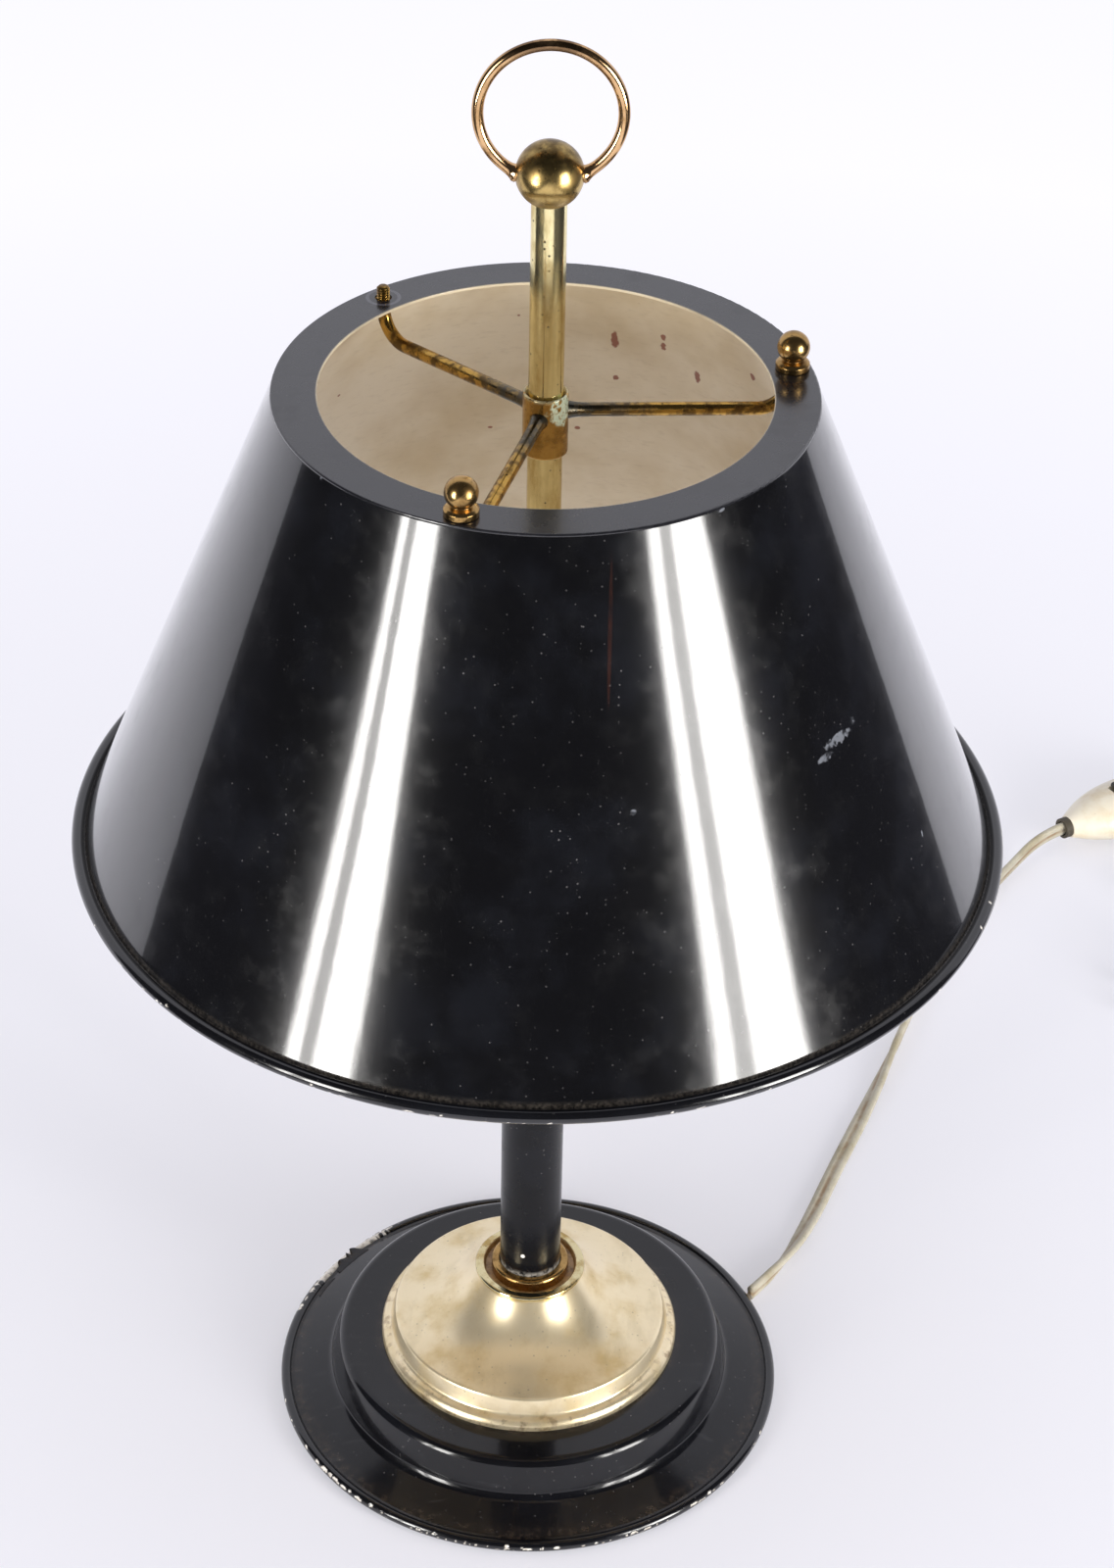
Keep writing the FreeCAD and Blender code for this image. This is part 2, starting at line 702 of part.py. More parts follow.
def make_spider():
    """Collar on the rod, three arms brazed into it, the nuts under the flat ring, clamp screw."""
    collar = turned([
        (rod_radius + running_gap, collar_foot, collar_bore_fillet),
        (collar_radius, collar_foot, collar_fillet),
        (collar_radius, collar_top, collar_fillet),
        (rod_radius + running_gap + collar_countersink, collar_top, 0),
        (rod_radius + running_gap, collar_top - collar_countersink, 0),
    ])
    root_z = shade_top - arm_root_drop
    low_z = root_z - arm_sag
    points = [V(collar_radius - arm_root_depth, 0, root_z), V(stud_circle_radius, 0, low_z),
              V(stud_circle_radius, 0, shade_top + stud_height)]
    arm = round_bar(rounded_wire(points, [0, arm_bend, 0]), arm_radius)
    nut = hexagon(seat_nut_flats, seat_nut_height)
    nut = nut.cut(Part.makeCylinder(arm_radius + thread_gap, seat_nut_height))
    nuts = []
    for number, azimuth in stud_azimuths.items():
        turned_arm = placed(arm, V(0, 0, 0), azimuth)
        collar = collar.cut(turned_arm)
        save("spider_arm_" + number, turned_arm)
        place = polar(stud_circle_radius, azimuth, ring_seat - seat_nut_height)
        nuts.append(placed(nut, place, azimuth))
    save("stud_seat_nuts", *nuts)

    screw_hole = Part.makeCylinder(clamp_screw_radius + thread_gap, 2 * collar_radius,
                                   V(0, 0, clamp_screw_z), V(0, 1, 0))
    save("spider_collar", collar.cut(screw_hole))
    head_y = collar_radius + clamp_screw_neck
    shank = Part.makeCylinder(clamp_screw_radius, head_y - rod_radius - thread_gap,
                              V(0, rod_radius + thread_gap, clamp_screw_z), V(0, 1, 0))
    head = Part.makeCylinder(clamp_screw_head_radius, clamp_screw_head_height,
                             V(0, head_y, clamp_screw_z), V(0, 1, 0))
    slot_depth = clamp_screw_head_height / 2
    slot = Part.makeBox(2 * clamp_screw_head_radius, slot_depth, clamp_screw_slot,
                        V(-clamp_screw_head_radius, head_y + clamp_screw_head_height - slot_depth,
                          clamp_screw_z - clamp_screw_slot / 2))
    save("collar_screw", shank.fuse(head).cut(slot).removeSplitter())


def make_ball_nuts():
    """Ball nuts on the front and the right stud; the third stud is bare."""
    ball_mid = ball_nut_height - ball_nut_radius
    neck_z = ball_mid - math.sqrt(ball_nut_radius ** 2 - ball_nut_neck_radius ** 2)
    bore = arm_radius + thread_gap
    corners = [V(0, 0, ball_nut_bore_depth), V(bore, 0, ball_nut_bore_depth), V(bore, 0, 0),
               V(ball_nut_skirt_radius - ball_nut_foot_bevel, 0, 0),
               V(ball_nut_skirt_radius, 0, ball_nut_foot_bevel),
               V(ball_nut_skirt_radius, 0, ball_nut_skirt_height),
               V(ball_nut_skirt_radius - ball_nut_skirt_slope, 0,
                 ball_nut_skirt_height + ball_nut_skirt_slope),
               V(ball_nut_neck_radius, 0, neck_z)]
    edges = [Part.LineSegment(a, b).toShape() for a, b in zip(corners, corners[1:])]
    edges.append(Part.Arc(corners[-1], V(ball_nut_radius, 0, ball_mid),
                          V(0, 0, ball_nut_height)).toShape())
    edges.append(Part.LineSegment(V(0, 0, ball_nut_height), corners[0]).toShape())
    nut = Part.Face(Part.Wire(edges)).revolve(V(0, 0, 0), UP, 360)
    seat = shade_top + ball_nut_seat_gap
    save("ball_nut_front", placed(nut, polar(stud_circle_radius, stud_azimuths["1"], seat)))
    save("ball_nut_right", placed(nut, polar(stud_circle_radius, stud_azimuths["2"], seat)))


def oval(x, width, height):
    """Oval wire across the switch at a distance along it."""
    ellipse = Part.Ellipse(V(x, width / 2, 0), V(x, 0, height / 2), V(x, 0, 0))
    return Part.Wire(ellipse.toShape())


def make_switch():
    """Olive-shaped in-line switch: two shells, rocker on its pin, two screws, two cord glands."""
    half = switch_length / 2
    sections = []
    for station, swell in switch_swell.items():
        width = switch_neck_width + (switch_width - switch_neck_width) * swell
        height = switch_neck_height + (switch_height - switch_neck_height) * swell
        sections.append(oval(station * half, width, height))
    body = Part.makeLoft(sections, True, False)
    reach = switch_length
    upper_half = Part.makeBox(2 * reach, 2 * reach, reach, V(-reach, -reach, 0))
    lower_half = Part.makeBox(2 * reach, 2 * reach, switch_z, V(-reach, -reach, -switch_z))
    pocket_length = rocker_length + 2 * rocker_sweep
    pocket_width = rocker_width + 2 * rocker_gap
    pocket = Part.makeBox(pocket_length, pocket_width, switch_height,
                          V(-pocket_length / 2, -pocket_width / 2, 0))
    pivot = V(0, 0, rocker_pivot_height)
    pin_length = pocket_width + 2 * pin_grip
    pin = Part.makeCylinder(pin_radius, pin_length, pivot - V(0, pin_length / 2, 0), V(0, 1, 0))
    upper = body.common(upper_half).cut(pocket).cut(pin)
    lower = body.common(lower_half)

    screws = []
    for side in (-1, 1):
        x = side * switch_screw_offset
        head_low = -switch_z + switch_screw_recess
        well = Part.makeCylinder(switch_screw_head_radius + running_gap,
                                 head_low + switch_screw_head_height + switch_z,
                                 V(x, 0, -switch_z))
        shank_low = head_low + switch_screw_head_height
        shank = Part.makeCylinder(switch_screw_radius, switch_screw_length, V(x, 0, shank_low))
        head = Part.makeCylinder(switch_screw_head_radius, switch_screw_head_height,
                                 V(x, 0, head_low))
        lower = lower.cut(well).cut(shank)
        upper = upper.cut(shank)
        screws.append(shank.fuse(head).removeSplitter())

    end = rocker_length / 2
    outline = [V(-end, 0, rocker_root), V(-end, 0, rocker_end_height), V(0, 0, rocker_height),
               V(end, 0, rocker_end_height), V(end, 0, rocker_root),
               V(rocker_root, 0, -rocker_root_depth), V(-rocker_root, 0, -rocker_root_depth)]
    corners = [rocker_foot_fillet, rocker_end_fillet, rocker_ridge_radius, rocker_end_fillet,
               rocker_foot_fillet, rocker_root_fillet, rocker_root_fillet]
    wire = rounded_wire(outline, corners, closed=True)
    rocker = Part.Face(wire).extrude(V(0, rocker_width, 0))
    rocker.translate(V(0, -rocker_width / 2, 0))
    rocker = rocker.cut(Part.makeCylinder(pin_radius + thread_gap, rocker_width,
                                          V(0, -rocker_width / 2, 0), V(0, 1, 0)))
    rocker.rotate(V(0, 0, 0), V(0, 1, 0), rocker_tilt)
    rocker.translate(pivot)

    gland = Part.makeCylinder(switch_gland_radius, switch_gland_length, V(half, 0, 0), V(1, 0, 0))
    gland = gland.cut(Part.makeCylinder(cord_radius + running_gap, switch_gland_length,
                                        V(half, 0, 0), V(1, 0, 0)))
    far_gland = placed(gland, V(0, 0, 0), 180)

    middle = switch_start + polar(half, switch_azimuth, switch_z)
    save("switch_upper_shell", placed(upper, middle, switch_azimuth))
    save("switch_lower_shell", placed(lower, middle, switch_azimuth))
    save("switch_rocker", placed(rocker, middle, switch_azimuth))
    save("switch_pin", placed(pin, middle, switch_azimuth))
    save("switch_screws", *[placed(s, middle, switch_azimuth) for s in screws])
    save("switch_glands", placed(gland, middle, switch_azimuth),
         placed(far_gland, middle, switch_azimuth))
    print("switch middle", middle, "rocker pivot z %.2f" % (middle.z + rocker_pivot_height))


def biarc(start, start_heading, end, end_heading):
    """Two tangent arcs from one point and heading to another, with equal end tangents."""
    chord = end - start
    both = start_heading + end_heading
    a = 2 * (start_heading.dot(end_heading) - 1)
    b = -2 * chord.dot(both)
    c = chord.dot(chord)
    if abs(a) < EPS:
        reach = -c / b
    else:
        reach = (-b - math.sqrt(b * b - 4 * a * c)) / (2 * a)
    first = start + start_heading * reach
    second = end - end_heading * reach
    joint = (first + second) * 0.5
    arcs = []
    for p, q, r in ((start, first, joint), (joint, second, end)):
        mid = (p + r) * 0.5
        weight = (p - mid).Length / (p - q).Length
        arcs.append(Part.Arc(p, mid + (q - mid) * (weight / (1 + weight)), r).toShape())
    return arcs


def coil_point(angle):
    """Point of the coil's line: in at a steady rate, up a layer in half a turn, and out again."""
    full = 2 * math.pi * coil_turns_per_layer
    inset = coil_pitch * min(angle, 2 * full - angle) / (2 * math.pi)
    climb = min(max((angle - full + math.pi / 2) / math.pi, 0.0), 1.0)
    radius = coil_outer_radius - inset
    z = coil_low_z + (coil_high_z - coil_low_z) * (3 * climb ** 2 - 2 * climb ** 3)
    return coil_centre + V(radius * math.cos(angle), -radius * math.sin(angle), z)


def coil_heading(angle):
    """Direction of the coil's line, from two points close by."""
    small = 0.02
    return (coil_point(angle + small) - coil_point(angle - small)).normalize()


def make_coil():
    """Coil of the unseen cord, wound in two layers, and the band that ties it."""
    full = 2 * math.pi * coil_turns_per_layer
    quarters = 8 * coil_turns_per_layer
    stops = [full * 2 * i / quarters for i in range(quarters + 1)]
    level = V(0, -1, 0)
    headings = [level] + [coil_heading(stop) for stop in stops[1:-1]] + [level]
    points = [coil_point(stop) for stop in stops]
    edges = [Part.LineSegment(points[0] - level * cord_width, points[0]).toShape()]
    for i in range(quarters):
        edges += biarc(points[i], headings[i], points[i + 1], headings[i + 1])
    edges.append(Part.LineSegment(points[-1], points[-1] + level * cord_width).toShape())
    path = Part.Wire(edges)
    coil = round_bar(path, cord_radius)
    expected = math.pi * cord_radius ** 2 * path.Length
    print("cord_coil length %.1f" % path.Length,
          "volume / section x length %.4f" % (coil.Volume / expected),
          "least gap %.2f" % coil_self_gap(path))
    save("cord_coil", coil)

    middle_turn = coil_outer_radius - coil_pitch * coil_turns_per_layer / 2
    half_bundle = coil_pitch * (coil_turns_per_layer - 1) / 2 + cord_radius
    inner = middle_turn - half_bundle - tie_gap - tie_sag_allowance
    outer = middle_turn + half_bundle + tie_gap
    high = coil_high_z + cord_radius + tie_gap
    band = Part.makeBox(outer - inner + 2 * tie_thickness, tie_width, high + tie_thickness,
                        V(-outer - tie_thickness, -tie_width / 2, 0))
    hole = Part.makeBox(outer - inner, tie_width, high - tie_thickness,
                        V(-outer, -tie_width / 2, tie_thickness))
    save("cord_tie", placed(band.cut(hole), coil_centre))


def coil_self_gap(path):
    """Least distance between the coil's surface and itself, measured on points of its line."""
    points = path.discretize(Distance=2.0)
    skip = int(math.pi * cord_width)
    least = 1e9
    for i in range(len(points)):
        for j in range(i + skip, len(points)):
            least = min(least, (points[i] - points[j]).Length)
    return least - cord_width


def make_free_cords():
    """The stretches that lie on the table: lamp to switch, switch to coil, coil to plug."""
    start = V(77.2, 37.0, cord_z)
    entry = switch_start + V(0, 0, switch_z)
    save("cord_lead", free_cord([
        start,
        V(88.5, 50.5, cord_z),
        V(99.6, 74.0, cord_z),
        V(110.6, 104.5, cord_z),
        V(124.4, 138.2, cord_z),
        V(139.0, 178.1, cord_z),
        V(154.6, 224.0, cord_z),
        V(173.8, 261.0, cord_z),
        V(191.4, 287.0, cord_z + 0.6),
        entry - polar(13.5, switch_azimuth),
        entry,
    ], "cord_lead"))

    leave = switch_start + polar(switch_length, switch_azimuth, switch_z)
    coil_start = coil_point(0) + V(0, cord_width, 0)
    save("cord_tail", free_cord([
        leave,
        leave + polar(12.5, switch_azimuth),
        V(301.5, 352.5, cord_z + 3.2),
        V(318.0, 350.5, cord_z),
        V(332.5, 340.5, cord_z),
        V(340.0, 324.5, cord_z),
        V(341.6, 306.0, cord_z + 0.3),
        V(coil_start.x, coil_start.y + 16.2, coil_start.z),
        coil_start,
    ], "cord_tail"))

    coil_end = coil_point(4 * math.pi * coil_turns_per_layer) + V(0, -cord_width, 0)
    plug_z = plug_thickness / 2
    entry = plug_cord_end + V(0, 0, plug_z)
    save("cord_end", free_cord([
        coil_end,
        coil_end + V(0, -12.7, 0),
        V(342.4, 232.4, plug_z + 1.8),
        V(338.0, 219.1, plug_z + 0.4),
        V(330.0, 208.9, plug_z),
        entry + V(12.5, 0, 0),
        entry,
    ], "cord_end"))


def make_plug():
    """Flat two-pin plug that lies beside the coil, its pins towards -X."""
    half_back = plug_back_width / 2
    half_front = plug_width / 2
    z = 0.0
    front = -plug_relief_length - plug_length
    outline = [V(-plug_relief_length, -half_back, z),
               V(-plug_relief_length, half_back, z),
               V(-plug_relief_length - plug_shoulder, half_front, z),
               V(front, half_front, z),
               V(front, -half_front, z),
               V(-plug_relief_length - plug_shoulder, -half_front, z)]
    corners = [plug_back_fillet, plug_back_fillet, plug_shoulder_fillet, plug_front_fillet,
               plug_front_fillet, plug_shoulder_fillet]
    wire = rounded_wire(outline, corners, closed=True)
    body = Part.Face(wire).extrude(V(0, 0, plug_thickness))
    rims = [edge for edge in body.Edges
            if abs(edge.BoundBox.ZMin - edge.BoundBox.ZMax) < EPS]
    body = body.makeFillet(plug_edge_fillet, rims)
    relief_length = plug_relief_length + plug_edge_fillet
    relief = Part.makeCone(plug_relief_tip_radius, plug_relief_radius, relief_length,
                           V(0, 0, plug_thickness / 2), V(-1, 0, 0))
    save("plug_body", placed(body.fuse(relief), plug_cord_end))
    pins = []
    for side in (-1, 1):
        place = V(front, side * plug_pin_spacing / 2, plug_thickness / 2)
        pin = Part.makeCylinder(plug_pin_radius, plug_pin_length, place, V(-1, 0, 0))
        tip = Part.makeSphere(plug_pin_radius, place - V(plug_pin_length, 0, 0))
        pins.append(placed(pin.fuse(tip).removeSplitter(), plug_cord_end))
    save("plug_pins", *pins)


os.makedirs("parts", exist_ok=True)
make_base()
make_clamping_stack()
make_dish()
make_cluster()
make_holders()
make_inner_wiring()
make_handle()
make_shade()
make_spider()
make_ball_nuts()
make_switch()
make_coil()
make_free_cords()
make_plug()
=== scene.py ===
# %% [markdown]
# # A bouillotte lamp, dressed for the camera
#
# The lamp arrives as a frame of separate pieces, already at their real size: spun base, brass
# dish, column, rod, spider, metal shade, ring handle, cord, switch and plug. This lesson gives
# each of them its surface and its finish, and lights the whole as a small photo studio does.

# %% The frame
import bpy
import json
import math
import numpy as np
from mathutils import Matrix, Vector


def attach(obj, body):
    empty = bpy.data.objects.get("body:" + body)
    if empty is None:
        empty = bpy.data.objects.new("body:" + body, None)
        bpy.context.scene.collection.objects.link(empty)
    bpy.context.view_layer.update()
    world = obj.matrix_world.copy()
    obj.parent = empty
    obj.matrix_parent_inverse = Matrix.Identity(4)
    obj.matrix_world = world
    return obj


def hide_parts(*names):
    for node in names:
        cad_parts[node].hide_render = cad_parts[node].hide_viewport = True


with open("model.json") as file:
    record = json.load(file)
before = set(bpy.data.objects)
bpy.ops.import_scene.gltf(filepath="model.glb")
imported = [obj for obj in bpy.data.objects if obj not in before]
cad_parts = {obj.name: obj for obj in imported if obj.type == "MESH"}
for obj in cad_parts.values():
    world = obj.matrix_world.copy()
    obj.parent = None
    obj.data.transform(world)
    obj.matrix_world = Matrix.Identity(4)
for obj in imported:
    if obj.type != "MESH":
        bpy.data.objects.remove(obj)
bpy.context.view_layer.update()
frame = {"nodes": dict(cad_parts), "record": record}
MM = 0.001

# %% [markdown]
# ## The camera
#
# The photograph looks down on the lamp from about 36 degrees, close enough for the shade to
# look larger than the base. Its place was found by fitting the circles of rim, opening, dish and
# base to their ellipses. The focal length is kept in pixels of the 1137 by 1600 picture and
# turned into a lens for a sensor whose long side is 36 mm.

# %% Camera
PICTURE_HEIGHT = 1600
FOCAL_PIXELS = 3700.0
SENSOR = 36.0
camera_place = Vector((0.0, -0.892, 0.8834))
pitch, yaw, roll = (math.radians(a) for a in (35.523, 0.355, 1.255))

ahead = Vector((math.sin(yaw) * math.cos(pitch), math.cos(yaw) * math.cos(pitch),
                -math.sin(pitch)))
level_right = Vector((math.cos(yaw), -math.sin(yaw), 0.0))
level_up = level_right.cross(ahead)
right = math.cos(roll) * level_right + math.sin(roll) * level_up
up = math.cos(roll) * level_up - math.sin(roll) * level_right

camera_data = bpy.data.cameras.new("studio_camera")
camera_data.sensor_width = SENSOR
camera_data.lens = FOCAL_PIXELS / PICTURE_HEIGHT * SENSOR
camera_data.clip_start = 0.05
camera = bpy.data.objects.new("studio_camera", camera_data)
facing = Matrix((right, up, -ahead)).transposed().to_4x4()
camera.matrix_world = Matrix.Translation(camera_place) @ facing
bpy.context.scene.collection.objects.link(camera)
bpy.context.scene.camera = camera
print("camera: lens %.2f mm, at" % camera_data.lens, tuple(camera_place))

# %% [markdown]
# ## Surfaces from grids
#
# Nearly every piece of this lamp was spun, turned or drawn, so its surface is a grid: rows run
# along the piece and columns round it. One helper makes the mesh of such a grid. It works out
# the volume that the faces enclose, and turns them round where that comes out negative.

# %% Grid to mesh
def grid_piece(name, grid, joined_rows=False, facts=None):
    """Closed mesh through a (rows, columns, 3) grid in metres.

    Every quad joins four neighbours, and the columns close on themselves. The rows close too
    where joined_rows is set; otherwise each end row is closed by one many-sided face. Facts are
    named (rows, columns) numbers for the materials to read.
    """
    rows, columns, _ = grid.shape
    row, column = np.meshgrid(np.arange(rows if joined_rows else rows - 1), np.arange(columns),
                              indexing="ij")
    near, far = row * columns, (row + 1) % rows * columns
    beside = (column + 1) % columns
    quads = np.stack([near + column, near + beside, far + beside, far + column], -1).reshape(-1, 4)
    spots = grid.reshape(-1, 3)
    first, last = np.arange(columns), np.arange(columns) + (rows - 1) * columns
    triangles = [quads[:, :3], quads[:, [0, 2, 3]]]
    if not joined_rows:
        for cap in (first[::-1], last):
            fan = [np.full(columns - 2, cap[0]), cap[1:-1], cap[2:]]
            triangles.append(np.stack(fan, -1))
    corners = np.concatenate(triangles)
    a, b, c = (spots[corners[:, i]] - spots.mean(0) for i in range(3))
    faces = quads.tolist() + ([] if joined_rows else [first[::-1].tolist(), last.tolist()])
    if (a * np.cross(b, c)).sum() < 0:
        faces = [face[::-1] for face in faces]
    mesh = bpy.data.meshes.new(name)
    mesh.from_pydata(spots.tolist(), [], faces)
    mesh.polygons.foreach_set("use_smooth", np.ones(len(faces), bool))
    for fact, values in (facts or {}).items():
        mesh.attributes.new(fact, "FLOAT", "POINT").data.foreach_set("value", values.reshape(-1))
    mesh.update()
    piece = bpy.data.objects.new(name, mesh)
    bpy.context.scene.collection.objects.link(piece)
    return piece


# %% [markdown]
# ## Outlines of spun and turned pieces
#
# A turned piece is drawn as half a section: straight runs that meet in rounded corners. Each
# corner is given its radius, and a sharp one still gets a tenth of a millimetre, because real
# edges are never perfectly sharp and catch a line of light. Extra points beside each bend keep
# the smooth shading on the bend, so that the flats stay flat.

# %% Half sections
def outline(corners, closed=True, steps=8, longest=8.0, guard=0.2):
    """Points along straight runs and tangent arcs, from (radius, height, corner radius) rows.

    A corner of radius r is an arc that leaves its sides r / tan(half angle) from the corner.
    """
    corners = np.array(corners, float)
    spots, sizes = corners[:, :2], corners[:, 2]
    count = len(spots)
    bends = []
    for i in range(count):
        if sizes[i] == 0 or not closed and i in (0, count - 1):
            bends.append(spots[i][None])
            continue
        back, onward = spots[i - 1] - spots[i], spots[(i + 1) % count] - spots[i]
        back, onward = back / np.hypot(*back), onward / np.hypot(*onward)
        half = math.acos(back @ onward) / 2
        inward = (back + onward) / np.hypot(*(back + onward))
        centre = spots[i] + inward * sizes[i] / math.sin(half)
        start = spots[i] + back * sizes[i] / math.tan(half) - centre
        stop = spots[i] + onward * sizes[i] / math.tan(half) - centre
        sweep, share = math.pi - 2 * half, np.linspace(0, 1, steps + 1)[:, None]
        bends.append(centre + (np.sin((1 - share) * sweep) * start
                               + np.sin(share * sweep) * stop) / math.sin(sweep))
    rows = []
    for i, bend in enumerate(bends):
        rows.append(bend)
        if not closed and i == count - 1:
            break
        run = bends[(i + 1) % count][0] - bend[-1]
        length = np.hypot(*run)
        if length > 3 * guard:
            share = np.linspace(guard / length, 1 - guard / length, int(length / longest) + 2)
            rows.append(bend[-1] + share[:, None] * run)
    return np.concatenate(rows)


def sheet(corners, wall):
    """Corners of a spun sheet: its outer side, and back along the same line, one wall inside.

    Two parallel lines meet at the corner moved by (left1 + left2) * wall / (1 + left1 . left2).
    """
    corners = np.array(corners, float)
    run = np.diff(corners[:, :2], axis=0)
    run /= np.hypot(run[:, :1], run[:, 1:])
    left = np.column_stack([-run[:, 1], run[:, 0]])
    before, after = left[[0, *range(len(left))]], left[[*range(len(left)), -1]]
    shift = (before + after) * wall / (1 + (before * after).sum(1, keepdims=True))
    bends_left = np.r_[0, run[:-1, 0] * run[1:, 1] - run[:-1, 1] * run[1:, 0], 0] > 0
    inner = np.where(bends_left, np.maximum(corners[:, 2] - wall, 0.1), corners[:, 2] + wall)
    inner[corners[:, 2] <= 0.1] = 0.1
    return np.vstack([corners, np.column_stack([corners[:, :2] + shift, inner])[::-1]])


def revolved(rows, columns, change=None):
    """Grid of an outline turned about the lamp's axis, in metres.

    The point at angle t is (r cos t, r sin t, z), after change(t, r, z) has moved r and z.
    """
    angle = np.linspace(0, 2 * math.pi, columns, endpoint=False)[None]
    radius, height = (np.repeat(rows[:, i, None], columns, 1) for i in (0, 1))
    if change is not None:
        radius, height = change(angle, radius, height)
    return round_grid(angle, radius, height)


def round_grid(angle, radius, height):
    """Grid in metres of points given by angle, distance from the axis and height."""
    return MM * np.stack([radius * np.cos(angle), radius * np.sin(angle), height], -1)


def moved(grid, radius, azimuth):
    """The grid itself, taken from the lamp's axis out to a circle, at one azimuth."""
    grid[..., 0] += MM * radius * math.cos(math.radians(azimuth))
    grid[..., 1] += MM * radius * math.sin(math.radians(azimuth))
    return grid


def dress(piece, body, nodes, slot, *finishes):
    """Hooks a finished piece up: the body it rides on, the nodes it stands for, its finish."""
    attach(piece, body)
    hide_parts(*nodes)
    for finish in finishes:
        piece.data.materials.append(finish)
    print(piece.name, len(piece.data.polygons), "faces, stands for", ", ".join(nodes))
    return piece


# %% [markdown]
# ## Colours and nodes
#
# Colours are written as people read them, in sRGB hex, and a shader wants them linear. Nodes
# are made by one helper: it takes the node's own settings and what goes into its sockets, and
# gives back one output. A pattern is then an ordinary function that calls it. Sockets go by
# their number: a Map Range takes its value in 0 and stretches the range from 1 to 2 onto the
# one from 3 to 4, and a Mix of colours takes its share in 0 and the colours in 6 and 7.

# %% Colours, nodes and patterns
def linear(hex_colour):
    """Red, green, blue and alpha, linear, of an sRGB hex value: the sRGB curve undone."""
    coded = np.array([int(hex_colour[i:i + 2], 16) for i in (1, 3, 5)]) / 255
    straight = np.where(coded <= 0.04045, coded / 12.92, ((coded + 0.055) / 1.055) ** 2.4)
    return (*straight.tolist(), 1.0)


def fill(tree, node, inputs):
    """Puts values into a node's sockets, and links the outputs of other nodes to them."""
    for key, value in inputs.items():
        if isinstance(value, bpy.types.NodeSocket):
            tree.links.new(value, node.inputs[key])
        else:
            node.inputs[key].default_value = value


def add(tree, kind, inputs=None, out=0, **settings):
    """Adds a node with its settings, fills its sockets and gives one of its outputs."""
    made = tree.nodes.new("ShaderNode" + kind)
    for name, value in settings.items():
        setattr(made, name, value)
    fill(tree, made, inputs or {})
    return made.outputs[out] if made.outputs else made


SOFT = {"interpolation_type": "SMOOTHSTEP"}    # a Map Range with soft ends


def patches(tree, place, size, low, high, stretch=(1, 1, 1), detail=4.0):
    """Mask of cloudy patches: noise as large as size in mm, cut softly between two levels."""
    if stretch != (1, 1, 1):
        place = add(tree, "VectorMath", {0: place, 1: stretch}, operation="MULTIPLY")
    noise = add(tree, "TexNoise", {"Vector": place, "Scale": 1 / size, "Detail": detail,
                                   "Roughness": 0.6})
    return add(tree, "MapRange", {0: noise, 1: low, 2: high}, **SOFT)


def specks(tree, place, spacing, size, share):
    """Mask of small dots: one cell in so many holds a dot, and its edge is soft."""
    cells = add(tree, "TexVoronoi", {"Vector": place, "Scale": 1 / spacing})
    chosen = add(tree, "SeparateColor", {0: cells.node.outputs[1]})
    chosen = add(tree, "Math", {0: chosen, 1: share}, operation="LESS_THAN")
    dot = add(tree, "MapRange", {0: cells, 1: size / spacing, 2: 0.5 * size / spacing}, **SOFT)
    return add(tree, "Math", {0: dot, 1: chosen}, operation="MULTIPLY")


def where_all(tree, *masks, operation="MULTIPLY"):
    """Mask that is white where all the masks are: they, or numbers, are multiplied in turn."""
    together = masks[0]
    for mask in masks[1:]:
        together = add(tree, "Math", {0: together, 1: mask}, operation=operation, use_clamp=True)
    return together


def where_any(tree, *masks):
    """Mask that is white where one of the masks is: the highest of them."""
    return where_all(tree, *masks, operation="MAXIMUM")


def laid_over(tree, under, top, *masks):
    """One colour laid over another where all the masks are white."""
    return add(tree, "Mix", {0: where_all(tree, *masks), 6: under, 7: top}, out=2,
               data_type="RGBA")


def spot(tree, place, centre, size, rough=0.5):
    """Mask of one ragged mark: distance from its centre, divided by its size, below one."""
    ragged_edge = add(tree, "TexNoise", {"Vector": place, "Scale": 0.7}, out=1)
    ragged_edge = add(tree, "VectorMath", {0: ragged_edge, 1: (0.5, 0.5, 0.5)},
                      operation="SUBTRACT")
    ragged_edge = add(tree, "VectorMath", {0: ragged_edge, 3: 2 * rough * min(size)},
                      operation="SCALE")
    away = add(tree, "VectorMath", {0: place, 1: centre}, operation="SUBTRACT")
    away = add(tree, "VectorMath", {0: away, 1: ragged_edge}, operation="ADD")
    away = add(tree, "VectorMath", {0: away, 1: size}, operation="DIVIDE")
    away = add(tree, "VectorMath", {0: away}, out=1, operation="LENGTH")
    return add(tree, "MapRange", {0: away, 1: 1.15, 2: 0.8}, **SOFT)


def axis_distance(tree, place):
    """Distance from the lamp's axis, and height, in mm."""
    flat = add(tree, "VectorMath", {0: place, 1: (1, 1, 0)}, operation="MULTIPLY")
    distance = add(tree, "VectorMath", {0: flat}, out=1, operation="LENGTH")
    return distance, add(tree, "SeparateXYZ", {0: place}, out=2)


def blank(name, **constants):
    """New material: itself, its node tree, its shader and the place on the object in mm."""
    made = bpy.data.materials.new(name)
    made.use_nodes = True
    tree = made.node_tree
    shader = tree.nodes["Principled BSDF"]
    fill(tree, shader, {key.replace("_", " "): value for key, value in constants.items()})
    place = add(tree, "VectorMath", {0: add(tree, "TexCoord", out=3), 3: 1 / MM},
                operation="SCALE")
    return made, tree, shader, place


